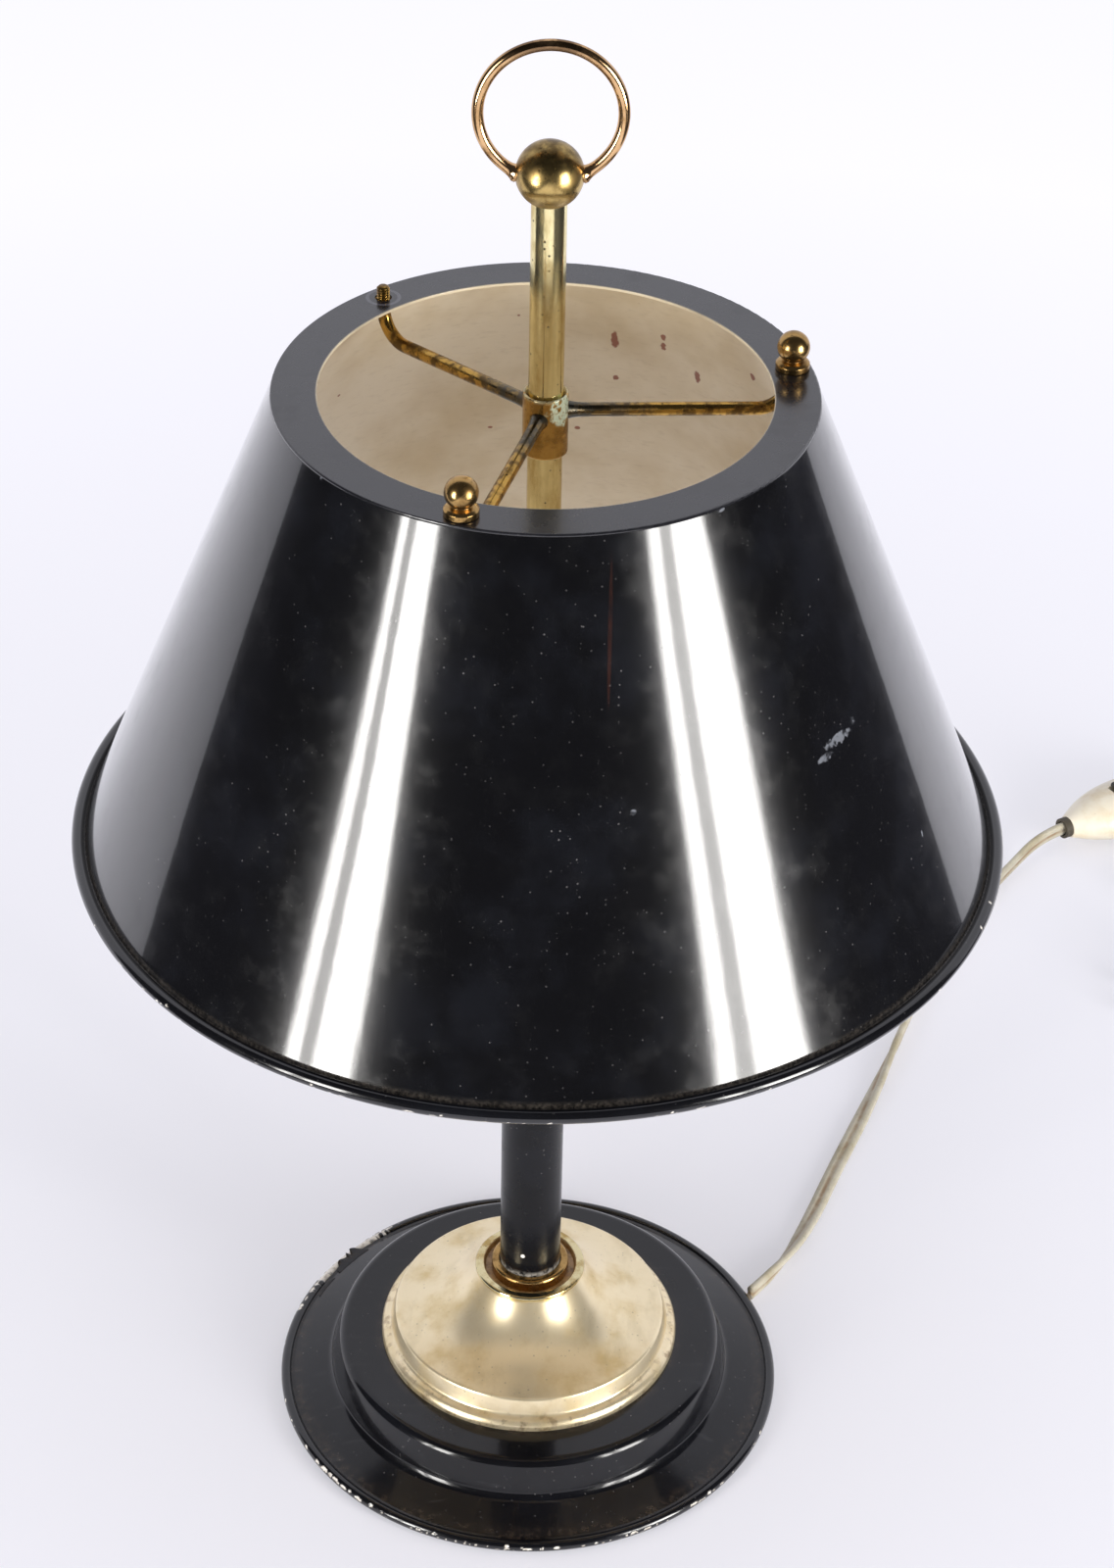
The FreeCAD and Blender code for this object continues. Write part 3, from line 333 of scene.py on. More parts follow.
# %% [markdown]
# ## Black enamel
#
# The shade, column and base are pressed and spun sheet steel in sprayed and baked black
# enamel. It shows a sharp, pale reflection of whatever is bright around it, with a faint haze
# beside each highlight, so it is a dark base with a rougher gloss under a smooth coat. Decades
# of handling leave dust specks, rubbed clouds and a slightly wavy skin, drawn here by three
# patterns: specks a few tenths of a millimetre wide, clouds of 30 mm and streaks that run down
# the slope as the brush and the cloth did.

# %% Enamel
def black_enamel(name, colour, haze, dust, roughness=0.05, coat=1.0, gloss_level=0.35):
    """Baked enamel; gives the material and the colour that further wear is laid over."""
    made, tree, shader, place = blank(name, Coat_Weight=coat, Coat_Roughness=roughness,
                                      Specular_IOR_Level=gloss_level)
    clouds = patches(tree, place, 30, 0.42, 0.68)
    film = patches(tree, place, 9, 0.45, 0.75, detail=8.0)
    dusty = where_all(tree, specks(tree, place, 2.6, 0.34, 0.5),
                      add(tree, "MapRange", {0: clouds, 3: 0.25, 4: 1}))
    fine = where_all(tree, specks(tree, place, 1.3, 0.2, 0.4),
                     add(tree, "MapRange", {0: film, 3: 0.1, 4: 0.8}))
    dusty = where_all(tree, where_any(tree, dusty, fine), dust)
    paint = laid_over(tree, linear(colour), linear("#101115"), clouds)
    paint = laid_over(tree, paint, linear("#8d8a88"), dusty)
    gloss = add(tree, "MapRange", {0: film, 3: haze, 4: haze * 1.6})
    streaks = add(tree, "VectorMath", {0: place, 1: (1, 1, 0.1)}, operation="MULTIPLY")
    streaks = add(tree, "TexNoise", {"Vector": streaks, "Scale": 1 / 5, "Detail": 3.0})
    skin = add(tree, "Bump", {"Height": streaks, "Distance": 0.012 * MM})
    skin = add(tree, "Bump",
               {"Height": add(tree, "TexNoise", {"Vector": place, "Scale": 1.2}),
                "Distance": 0.0012 * MM, "Normal": skin})
    fill(tree, shader, {"Base Color": paint, "Roughness": gloss, "Normal": skin,
                        "Coat Normal": skin})
    return made, tree, shader, place, paint


# %% [markdown]
# ## The shade
#
# The shade is a rolled steel cone with its foot turned out and rolled over a wire, and a flat
# ring let into its top. It is painted black outside and cream inside. The cone's surface is its
# half section revolved, and then pushed in and out by up to a quarter of a millimetre in three
# waves, because no hand-rolled cone is true, and a glossy one shows every wave in its
# highlights. Faces that look towards the axis take the cream paint.

# %% Shade sizes, in millimetres
RIM_HEIGHT = 234.0
RIM_EDGE = 141.0
SHEET_EDGE = 139.4         # where the sheet ends, inside the roll
ROLL = 2.05
ROLL_CENTRE = RIM_EDGE - ROLL
CONE_FOOT = (136.9, 234.6)
CONE_TOP = (77.4, 381.6)
SHADE_WALL = 0.8
SHADE_TOP = 382.4


def hand_rolled(angle, radius, height):
    """Waves round the cone, 0.23 mm at most, that die away at its two edges."""
    share = np.clip((height - CONE_FOOT[1]) / (CONE_TOP[1] - CONE_FOOT[1]), 0, 1)
    wave = (np.sin(3 * angle + 0.7 + 1.5 * share) + 0.6 * np.sin(7 * angle + 2.1 - 2.0 * share)
            + 0.35 * np.sin(17 * angle + 1.3 + 3.0 * share))
    return radius + 0.13 * wave * np.sqrt(np.maximum(np.sin(math.pi * share), 0)), height


# %% Shade paint outside
shade_paint, tree, shader, place, paint = black_enamel("black_baked_enamel_shade", "#070709",
                                                       0.17, 0.4)
height = axis_distance(tree, place)[1]
# Brown dust lies in the groove above the bead and thins out over 3 mm of the cone
dust_line = add(tree, "MapRange", {0: height, 1: RIM_HEIGHT + 3.2, 2: RIM_HEIGHT + 0.7}, **SOFT)
dust_line = where_all(tree, dust_line,
                      add(tree, "MapRange",
                          {0: patches(tree, place, 1.2, 0.35, 0.7), 3: 0.1, 4: 0.55}))
paint = laid_over(tree, paint, linear("#6e665c"), dust_line)
# A scuff of pale plaster, chips at the top edge and one at mid height, a scratch
marks = spot(tree, place, (83.0, -66.5, 311.0), (6.0, 6.0, 1.3), 1.3)
for centre, size in (((78.6, -71.5, 308.6), (3.0, 3.4, 1.1)),
                     ((87.6, -60.0, 313.2), (1.2, 1.6, 1.8)),
                     ((25.6, -102.8, 311.0), (0.9, 0.9, 0.8)),
                     ((47.3, -61.6, 381.4), (1.4, 1.4, 0.7)),
                     ((-60.0, -48.8, 381.3), (0.6, 0.6, 0.6)),
                     ((110.2, -53.7, 270.0), (0.35, 0.5, 6.0))):
    marks = where_any(tree, marks, spot(tree, place, centre, size))
marks = where_all(tree, marks,
                  add(tree, "MapRange", {0: patches(tree, place, 2.2, 0.42, 0.56), 3: 0.1, 4: 0.7}))
paint = laid_over(tree, paint, linear("#7b7e84"), marks)
# One thin reddish-brown streak runs down from the top edge
run = where_all(tree, spot(tree, place, (18.2, -85.6, 357.0), (0.55, 12.0, 26.0), 0.2),
                patches(tree, place, 6, 0.3, 0.6, (1, 1, 0.3)))
paint = laid_over(tree, paint, linear("#3e2016"), run, 0.4)
fill(tree, shader, {"Base Color": paint})

# %% Cream enamel inside
cream_paint, tree, shader, place = blank("cream_enamel_inside", Specular_IOR_Level=0.4)
soot = patches(tree, place, 45, 0.35, 0.75)
cream = laid_over(tree, linear("#e5d7bb"), linear("#cdb993"), soot)
wipe = patches(tree, place, 4, 0.5, 0.8, (1, 1, 3))
cream = laid_over(tree, cream, linear("#b09c78"), wipe, 0.25)
rust = specks(tree, place, 9.0, 0.7, 0.1)
for centre, size in (((20.7, 86.1, 352.0), (1.1, 2.4, 4.6)), ((35.3, 79.4, 357.0), (0.9, 1.4, 1.6)),
                     ((35.3, 80.4, 352.6), (0.9, 1.4, 2.0)), ((46.1, 79.8, 343.0), (0.9, 1.4, 3.8)),
                     ((61.8, 62.8, 353.0), (0.7, 1.0, 2.4)), ((21.5, 93.0, 335.0), (1.0, 1.4, 1.2)),
                     ((-17.4, 104.1, 310.0), (0.8, 0.8, 0.6)), ((10.1, 105.0, 310.0), (1.0, 1.0, 0.9))):
    rust = where_any(tree, rust, spot(tree, place, centre, size, 0.7))
cream = laid_over(tree, cream, linear("#86401f"), rust, 0.9)
eggshell = add(tree, "Bump",
               {"Height": add(tree, "TexNoise", {"Vector": place, "Scale": 0.9}),
                "Distance": 0.004 * MM})
fill(tree, shader,
     {"Base Color": cream, "Roughness": add(tree, "MapRange", {0: soot, 3: 0.42, 4: 0.55}),
      "Normal": eggshell})

# %% Shade cone
cone_rows = outline(sheet([(SHEET_EDGE, CONE_FOOT[1], 0), (*CONE_FOOT, 0.8), (*CONE_TOP, 0.1)],
                          SHADE_WALL))
shade_cone = grid_piece("shade_cone_sheet", revolved(cone_rows, 480, hand_rolled),
                        joined_rows=True)
shade_mesh = shade_cone.data
centres, normals = np.empty((2, len(shade_mesh.polygons) * 3))
shade_mesh.polygons.foreach_get("center", centres)
shade_mesh.polygons.foreach_get("normal", normals)
outwards = (centres.reshape(-1, 3)[:, :2] * normals.reshape(-1, 3)[:, :2]).sum(1)
shade_mesh.polygons.foreach_set("material_index", (outwards < 0).astype(np.int32))
dress(shade_cone, "shade", ["shade_cone"], "black_enamel_shade", shade_paint, cream_paint)

# %% [markdown]
# ## Rolled rims and their chips
#
# The base and the shade both end in a rolled bead, and that is where the enamel chips off. A
# chip is a real hollow here: the bead's section shrinks where the paint is gone, by 0.12 mm on
# the shade and 0.32 mm on the base, which is more than paint is thick, so that its edge shows.
# The same mask tells the material to show the pale primer.

# %% Rims
def ragged(angle, knots, seed):
    """Uneven line between -1 and 1 round the circle: random heights joined by straight runs."""
    heights = np.random.default_rng(seed).uniform(-1, 1, knots)
    turn = np.mod(angle / (2 * math.pi), 1) * knots
    return np.interp(turn, np.arange(knots + 1), np.r_[heights, heights[0]])


def turned_from(angle, direction):
    """How far an angle in radians lies from a direction in degrees, between -pi and pi."""
    return np.mod(angle - math.radians(direction) + math.pi, 2 * math.pi) - math.pi


def worn_away(angle, section, radius, chips, small, seed):
    """Share of the paint that is gone at each point of a rim, from 0 to 1.

    A chip at (azimuth, angle round the section) with half sizes in mm and degrees covers the
    points where the two distances, each divided by its half size, squared and added, stay
    under a ragged edge near one. Small chips are the same, placed at random low on the rim.
    """
    random = np.random.default_rng(seed)
    # Columns as for the chips; half widths are 0.3 mm on average, and a few are much larger
    small_ones = np.column_stack([random.uniform(*small["azimuths"], small["count"]),
                                  random.gamma(2.0, 0.16, small["count"]),
                                  random.normal(small["low"], 16, small["count"]),
                                  random.uniform(4, 13, small["count"])])
    edge = 1 + 0.5 * ragged(angle, 900, seed + 1) + 0.35 * ragged(section, 40, seed + 2)
    gone = np.zeros(np.broadcast(angle, section).shape)
    for azimuth, width, around, tall in [*chips, *small_ones.tolist()]:
        turn, swing = turned_from(angle, azimuth), turned_from(section, around)
        reach = (turn * radius / width) ** 2 + (swing / math.radians(tall)) ** 2
        gone = np.maximum(gone, np.clip((edge - reach) / 0.25, 0, 1))
    return gone


def rim(name, centre_radius, centre_height, section_radius, paint_depth, chips, small, seed,
        notch=None, columns=1440, sides=36):
    """Bead of round section: the point at angles t and s is centre + section (cos s, sin s)."""
    angle = np.linspace(0, 2 * math.pi, columns, endpoint=False)[None]
    section = np.linspace(0, 2 * math.pi, sides, endpoint=False)[:, None]
    gone = worn_away(angle, section, centre_radius, chips, small, seed)
    size = section_radius - paint_depth * gone
    radius = centre_radius + size * np.cos(section)
    height = centre_height + size * np.sin(section)
    if notch is not None:
        azimuth, half_width, top = notch
        beside = np.abs(turned_from(angle, azimuth) * centre_radius)
        inside = np.clip(half_width + 0.4 - beside, 0, 0.4) / 0.4
        height = height + inside * np.maximum(top - height, 0)
    return grid_piece(name, round_grid(angle, radius, height), joined_rows=True,
                      facts={"bare": gone})


# %% Rim paint
rim_paint, tree, shader, place, paint = black_enamel("chipped_black_enamel", "#0b0b0e", 0.16,
                                                     0.3, coat=0.7)
gone = add(tree, "Attribute", out=2, attribute_name="bare")
primer = laid_over(tree, linear("#ece7dc"), linear("#bcb3a5"), patches(tree, place, 1.5, 0.4, 0.7))
fill(tree, shader, {"Base Color": laid_over(tree, paint, primer, gone)})

# %% Shade bead
SHADE_CHIPS = [(-104, 1.6, -30, 14), (-112, 1.1, -35, 12), (-71, 1.3, -38, 12),
               (-58, 0.9, -30, 12), (-22, 0.6, 40, 14), (-17, 0.5, 60, 12)]
shade_bead = rim("shade_bead", ROLL_CENTRE, RIM_HEIGHT, ROLL, 0.12, SHADE_CHIPS,
                 {"azimuths": (-170, -10), "count": 90, "low": -32}, seed=11)
dress(shade_bead, "shade", ["shade_rim_wire"], "black_enamel_shade", rim_paint)

# %% [markdown]
# ## The base
#
# The base is spun from one disc: a sloping flange, a fillet, a step and a flat tier. Its bead
# has lost its paint over some 30 degrees at the back left, where the bare metal shines, and a
# few flakes there have lifted. The cord comes out through a notch under the bead.

# %% Base paint
base_paint, tree, shader, place, paint = black_enamel("black_baked_enamel_base", "#0a0a0d",
                                                      0.18, 0.4, 0.07, 0.5, 0.22)
distance, height = axis_distance(tree, place)
# Brown dust in the groove inside the bead, and beside the dish's lip
groove = where_all(tree, add(tree, "MapRange", {0: distance, 1: 74.0, 2: 79.8}, **SOFT),
                   add(tree, "MapRange", {0: height, 1: 6.5, 2: 4.5}, **SOFT))
groove = where_all(tree, groove,
                   add(tree, "MapRange",
                       {0: patches(tree, place, 2.5, 0.4, 0.72), 3: 0.05, 4: 0.5}))
paint = laid_over(tree, paint, linear("#42382f"), groove)
lip = where_all(tree, add(tree, "MapRange", {0: distance, 1: 53.5, 2: 49.8}, **SOFT),
                add(tree, "MapRange", {0: patches(tree, place, 7, 0.4, 0.65), 3: 0.05, 4: 0.55}))
paint = laid_over(tree, paint, linear("#3c342c"), lip)
# Long hairlines where the tier was wiped
hairs = patches(tree, place, 3.0, 0.62, 0.7, (0.12, 1.6, 1), detail=2.0)
paint = laid_over(tree, paint, linear("#77787c"), hairs, 0.04)
fill(tree, shader, {"Base Color": paint})

# %% Base sheet and bead
BEAD_CENTRE = (82.1, 2.9)
BEAD = 1.9
TIER_HEIGHT = 21.5
TUBE_HOLE = 5.3            # radius of the hole for the threaded tube
base_rows = outline(sheet([(BEAD_CENTRE[0], 4.0, 0), (79.6, 4.0, 1.2), (66.6, 8.6, 3.5),
                           (63.4, TIER_HEIGHT, 3.2), (TUBE_HOLE, TIER_HEIGHT, 0.1)], 1.0))
base_shell = grid_piece("base_shell", revolved(base_rows, 480), joined_rows=True)
dress(base_shell, "lamp_stand", ["base_pan"], "black_enamel_base", base_paint)

BASE_CHIPS = [
    (142.5, 21.5, 70, 95), (142.5, 23.5, -30, 65),
    (162.5, 1.7, 45, 40), (175.0, 0.8, 10, 25), (-166.5, 0.9, 15, 18), (-142.5, 1.6, 22, 22),
    (-138.5, 1.1, 30, 16), (-160.0, 0.6, 20, 12), (-151.0, 0.8, 24, 14),
    (-145.6, 1.0, 18, 20), (-140.6, 1.0, 26, 18), (-135.6, 1.2, 20, 16), (-133.4, 0.7, 30, 12),
    (-131.0, 1.6, 18, 20), (-127.0, 0.7, 30, 14), (-94.0, 0.7, 30, 12),
    (-89.5, 1.3, 2, 13), (-83.0, 1.0, 10, 14), (-65.0, 1.0, 12, 14), (-49.0, 1.6, 14, 16),
    (-44.0, 0.8, 20, 14), (-21.5, 0.9, 14, 18)]
base_rim = rim("base_bead", *BEAD_CENTRE, BEAD, 0.32, BASE_CHIPS,
               {"azimuths": (-175, -15), "count": 120, "low": -8}, seed=5,
               notch=(25.5, 3.3, 3.35))
dress(base_rim, "lamp_stand", ["base_pan"], "black_enamel_base", rim_paint)


# %% Lifted flakes of paint
FLAKE_ROOT = (78.6, 4.35)  # radius and height at which the flakes still hold on


def flake(name, azimuths, reach, lift, seed):
    """Thin strip along the rim whose outer edge is ragged and lifted.

    At each azimuth the section is a flat oval, reach long and 0.3 mm thick, that rises outwards
    as the square of the distance.
    """
    turn = np.radians(np.linspace(*azimuths, 60))[:, None]
    around = np.linspace(0, 2 * math.pi, 14, endpoint=False)[None]
    taper = np.sin(np.linspace(0.08, math.pi - 0.08, 60))[:, None] ** 0.5
    out = reach * taper * (1 + 0.3 * ragged(turn, 500, seed)) * (1 + np.cos(around)) / 2
    radius = FLAKE_ROOT[0] + out
    height = FLAKE_ROOT[1] + lift * taper * (out / reach) ** 2 + 0.16 * np.sin(around)
    return grid_piece(name, round_grid(turn, radius, height))


for number, (azimuths, reach, lift) in enumerate((((136.5, 147.5), 3.6, 1.1),
                                                  ((150.0, 157.5), 1.7, 0.3)), 1):
    lifted = flake("paint_flake_%d" % number, azimuths, reach, lift, 30 + number)
    dress(lifted, "lamp_stand", ["base_pan"], "black_enamel_base", base_paint)

# %% [markdown]
# ## Brass
#
# Brass is a metal, so its colour is the colour of its reflections. Clean brass is yellow, and
# age moves it: lacquered and rubbed it turns to pale champagne, handled it goes pinkish brown,
# and where nobody wipes it goes dark grey with black pits. One function mixes a bright and a
# dull colour by clouds, adds pits, and lets the dull parts be rougher.

# %% Brass
def brass(name, bright, dull, clouds=12.0, share=(0.45, 0.7), pits=0.5, roughness=(0.12, 0.34),
          stretch=(1, 1, 1), pit_colour="#2e2415"):
    """Aged brass; gives the material and what further stains are laid over."""
    made, tree, shader, place = blank(name, Metallic=1.0)
    tarnish = patches(tree, place, clouds, *share, stretch, detail=7.0)
    metal = laid_over(tree, linear(bright), linear(dull), tarnish)
    dots = where_all(tree, specks(tree, place, 1.5, 0.42, 0.3), patches(tree, place, 6, 0.42, 0.62))
    dots = where_all(tree, dots, pits)
    metal = laid_over(tree, metal, linear(pit_colour), dots)
    worn = where_any(tree, tarnish, dots)
    skin = add(tree, "Bump",
               {"Height": add(tree, "TexNoise", {"Vector": place, "Scale": 0.25, "Detail": 5.0}),
                "Distance": 0.02 * MM})
    skin = add(tree, "Bump", {"Height": dots, "Distance": -0.03 * MM, "Normal": skin})
    fill(tree, shader,
         {"Base Color": metal,
          "Roughness": add(tree, "MapRange", {0: worn, 3: roughness[0], 4: roughness[1]}),
          "Normal": skin})
    return made, tree, shader, place, metal


dish_brass, tree, shader, place, metal = brass("lacquered_pale_brass", "#f6e6c2", "#dcc48f", 16.0,
                                               (0.42, 0.75), 0.3, (0.28, 0.4))
# Brown stains gather on the dish's lip, and rubbed clouds lie on its plate
height = axis_distance(tree, place)[1]
stains = where_all(tree, add(tree, "MapRange", {0: height, 1: 27.5, 2: 24.0}, **SOFT),
                   patches(tree, place, 3.5, 0.5, 0.68))
metal = laid_over(tree, metal, linear("#8a6a44"), stains, 0.6)
rubbed = patches(tree, place, 9, 0.5, 0.72, (1, 0.5, 1))
metal = laid_over(tree, metal, linear("#bfae84"), rubbed, 0.3)
# The old lacquer's film scatters a fifth of the light, which lifts the dark reflections
fill(tree, shader, {"Base Color": metal, "Metallic": 0.78})

cup_brass, tree, shader, place, metal = brass("cup_brass_dirty_inside", "#e0d3a6", "#b89c62", 8.0)
inside = add(tree, "MapRange", {0: axis_distance(tree, place)[0], 1: 15.8, 2: 15.0}, **SOFT)
dirt = laid_over(tree, linear("#b58f5c"), linear("#84603a"), patches(tree, place, 2, 0.4, 0.65))
fill(tree, shader,
     {"Base Color": laid_over(tree, metal, dirt, inside, 0.9),
      "Metallic": add(tree, "MapRange", {0: inside, 3: 1.0, 4: 0.1})})

aged, *_ = brass("aged_brass", "#b9965f", "#755933", 5.0, (0.4, 0.75), 0.5, (0.2, 0.4))
rod_finish, *_ = brass("rod_yellow_brass", "#f6e9b4", "#c3a868", 7.0, (0.4, 0.7), 0.9,
                       (0.13, 0.28), (1, 1, 0.35))

# %% Handled brass
ring_finish, tree, shader, place, metal = brass("handled_pink_brass", "#dcb484", "#a87f4e", 6.0,
                                                (0.45, 0.75), 0.35, (0.12, 0.24))
above = add(tree, "MapRange", {0: axis_distance(tree, place)[1], 1: 481.0, 2: 486.0}, **SOFT)
top = where_all(tree, above, patches(tree, place, 7, 0.3, 0.5))
fill(tree, shader, {"Base Color": laid_over(tree, metal, linear("#5c4634"), top, 0.8)})

ball_finish, tree, shader, place, metal = brass("ball_brass_dark_on_top", "#c6aa6c", "#8f7648",
                                                5.0, (0.4, 0.7), 0.9, (0.22, 0.42))
above = add(tree, "MapRange", {0: axis_distance(tree, place)[1], 1: 450.0, 2: 457.0}, **SOFT)
top = where_all(tree, above,
                add(tree, "MapRange", {0: patches(tree, place, 3, 0.35, 0.65), 3: 0.35, 4: 1.0}))
fill(tree, shader, {"Base Color": laid_over(tree, metal, linear("#4e3f2a"), top, 0.8)})

# %% Heated and tarnished brass of the spider
spider_finish, tree, shader, place, metal = brass("spider_brass_tarnished", "#c29a4e", "#6c5430",
                                                  4.0, (0.4, 0.62), 0.9, (0.16, 0.4),
                                                  pit_colour="#241c12")
# The bars are dark grey near the collar, where they were brazed
near = add(tree, "MapRange", {0: axis_distance(tree, place)[0], 1: 34.0, 2: 14.0}, **SOFT)
heat = where_all(tree, near,
                 add(tree, "MapRange", {0: patches(tree, place, 5, 0.35, 0.6), 3: 0.6, 4: 1.0}))
fill(tree, shader, {"Base Color": laid_over(tree, metal, linear("#54524a"), heat)})

collar_finish, tree, shader, place, metal = brass("collar_brass_amber", "#c09a58", "#8d6a34", 5.0,
                                                  (0.4, 0.65), 0.6, (0.16, 0.36))
verdigris_and_sheen = where_all(tree, spot(tree, place, (4.6, -4.6, 378.5), (4.2, 4.2, 5.0), 0.5),
                      patches(tree, place, 1.6, 0.35, 0.5))
# A pale band round the top lip is a painted highlight, laid on together with the real verdigris patch
at_rim = add(tree, "MapRange", {0: axis_distance(tree, place)[1], 1: 380.6, 2: 381.8}, **SOFT)
painted_lip_sheen = where_all(tree, at_rim, patches(tree, place, 1.5, 0.3, 0.5), 0.4)
verdigris_and_sheen = where_any(tree, verdigris_and_sheen, painted_lip_sheen)
fill(tree, shader,
     {"Base Color": laid_over(tree, metal, linear("#b9c2a8"), verdigris_and_sheen),
      "Metallic": add(tree, "MapRange", {0: verdigris_and_sheen, 3: 1.0, 4: 0.15})})

# %% [markdown]
# ## Dish, cup, foot ring and column
#
# The dish is a spun bell: a lip, a step and a plate that sweeps up into a narrow neck. All of
# its beauty is in its reflections, so its half section is the drawn one with a large arc for
# the sweep, and slow waves of a few hundredths of a millimetre bend the reflections a little.

# %% Dish, cup and foot ring
def hand_spun(angle, radius, height):
    """Waves of 0.05 mm round the dish, such as a spinning tool leaves."""
    return radius, height + 0.05 * np.sin(5 * angle + radius / 6) * np.sin(radius / 11)


DISH_TOP, CUP_FLOOR = 48.2, 49.0
dish_rows = outline(sheet([
    (49.6, TIER_HEIGHT, 0), (49.6, 24.3, 2.6), (46.4, 25.4, 1.4), (44.9, 31.4, 1.3),
    (27.3, 33.4, 33.0), (16.8, DISH_TOP, 1.2), (TUBE_HOLE, DISH_TOP, 0)], 0.8), steps=16)
dish = grid_piece("dish_bell", revolved(dish_rows, 360, hand_spun), joined_rows=True)
dress(dish, "lamp_stand", ["brass_dish"], "polished_brass", dish_brass)

cup_rows = outline([(TUBE_HOLE, DISH_TOP, 0), (16.4, DISH_TOP, 0.4), (18.2, 49.65, 0.6),
                    (18.2, 51.1, 0.9), (15.2, 51.1, 0.7), (14.9, CUP_FLOOR, 0.5),
                    (TUBE_HOLE, CUP_FLOOR, 0)], longest=3)
cup = grid_piece("neck_cup_turned", revolved(cup_rows, 240), joined_rows=True)
dress(cup, "lamp_stand", ["neck_cup"], "polished_brass", cup_brass)

foot_rows = outline([(10.1, CUP_FLOOR, 0.1), (12.8, CUP_FLOOR, 0.1), (12.8, 53.2, 1.2),
                     (10.1, 53.2, 0.4)])
foot = grid_piece("foot_ring_turned", revolved(foot_rows, 180), joined_rows=True)
dress(foot, "lamp_stand", ["column_foot_ring"], "aged_brass", aged)

# %% Column
column_paint, tree, shader, place, paint = black_enamel("black_baked_enamel_column", "#0a0a0c",
                                                        0.24, 0.25, 0.12, 0.25, 0.15)
height = axis_distance(tree, place)[1]
dust = where_all(tree, add(tree, "MapRange", {0: height, 1: 55.6, 2: 53.2}, **SOFT),
                 patches(tree, place, 1.5, 0.35, 0.6))
paint = laid_over(tree, paint, linear("#a9a49a"), dust, 0.7)
chip = spot(tree, place, (-2.4, -9.7, 62.0), (0.7, 0.7, 0.8))
fill(tree, shader, {"Base Color": laid_over(tree, paint, linear("#ece7dc"), chip)})
COLUMN_BORE, COLUMN_RADIUS, COLUMN_TOP = 9.0, 10.0, 206.0
column_rows = outline([(COLUMN_BORE, CUP_FLOOR, 0.1), (COLUMN_RADIUS, CUP_FLOOR, 0.1),
                       (COLUMN_RADIUS, COLUMN_TOP, 0.1), (COLUMN_BORE, COLUMN_TOP, 0.1)])
column = grid_piece("column_painted", revolved(column_rows, 180), joined_rows=True)
dress(column, "lamp_stand", ["column_tube"], "black_enamel_column", column_paint)

# %% [markdown]
# ## Rod, ball and ring handle
#
# The ring is a bent brass wire whose two ends are brazed into the sides of a ball. The braze
# leaves a small fillet, so the wire thickens within a millimetre or two of the ball: its radius
# grows by 1 mm times a falling exponential of the distance from the ball.

# %% Rod and ball
POLE = 0.03                # radius at which a turned end is closed
BALL_Z, BALL_RADIUS = 448.8, 9.5
RING_Z, RING_RADIUS, RING_WIRE = 466.5, 19.65, 1.65
ROD_RADIUS, ROD_FOOT, ROD_TOP = 5.0, 225.0, 446.5

rod_rows = outline([(POLE, ROD_FOOT, 0), (ROD_RADIUS, ROD_FOOT, 0.1), (ROD_RADIUS, ROD_TOP, 0.1),
                    (POLE, ROD_TOP, 0)], closed=False)
rod = grid_piece("rod_drawn_tube", revolved(rod_rows, 120))
dress(rod, "lamp_stand", ["center_rod"], "rod_brass", rod_finish)

lap = np.linspace(math.asin(ROD_RADIUS / BALL_RADIUS), math.pi, 60)
ball_rows = np.column_stack([np.maximum(BALL_RADIUS * np.sin(lap), POLE),
                             BALL_Z - BALL_RADIUS * np.cos(lap)])
ball = grid_piece("handle_ball_turned", revolved(ball_rows, 120))
dress(ball, "lamp_stand", ["handle_ball"], "aged_brass", ball_finish)


# %% Ring handle
def round_tube(name, line, radius, across, sides=28):
    """Tube along a plane curve: line + radius (cos s, sin s) in its two cross directions.

    One cross direction is the same all along, square to the curve's plane.
    """
    tangent = np.gradient(line, axis=0)
    tangent /= np.linalg.norm(tangent, axis=1, keepdims=True)
    lift = np.cross(tangent, across)
    around = np.linspace(0, 2 * math.pi, sides, endpoint=False)[None, :, None]
    spread = np.cos(around) * np.asarray(across) + np.sin(around) * lift[:, None]
    return grid_piece(name, MM * (line[:, None] + radius[:, None, None] * spread))


meets_ball = math.acos((RING_RADIUS ** 2 + (RING_Z - BALL_Z) ** 2 - BALL_RADIUS ** 2)
                       / (2 * RING_RADIUS * (RING_Z - BALL_Z)))
let_in = meets_ball - 1.0 / RING_RADIUS
bend = np.linspace(let_in - math.pi / 2, 1.5 * math.pi - let_in, 240)
ring_line = np.column_stack([RING_RADIUS * np.cos(bend), 0 * bend,
                             RING_Z + RING_RADIUS * np.sin(bend)])
clear = np.linalg.norm(ring_line - [0, 0, BALL_Z], axis=1) - BALL_RADIUS
ring = round_tube("ring_bent_wire", ring_line,
                  RING_WIRE + 1.0 * np.exp(-np.maximum(clear, 0) / 0.9), (0.0, 1.0, 0.0))
dress(ring, "lamp_stand", ["ring_handle"], "aged_brass", ring_finish)

# %% [markdown]
# ## Spider and ball nuts
#
# The spider is a turned collar that slides on the rod and three bars brazed into it. Each bar
# falls a little, bends up within 9 mm and ends in a thread. A thread is the bar's radius lowered
# by a triangle wave of the height minus the turn, so that the ridges climb by one pitch a turn.

# %% Spider
STUD_CIRCLE = 71.5
STUD_TOP = SHADE_TOP + 3.8
STUD_AZIMUTHS = (-107.8, 12.2, 132.2)
BAR_RADIUS = 2.0
THREAD_PITCH, THREAD_DEPTH = 0.8, 0.42
THREAD_FOOT = SHADE_TOP - 2.8
COLLAR_BORE, COLLAR_RADIUS, COLLAR_FOOT, COLLAR_TOP = 5.1, 6.5, 363.0, 382.0

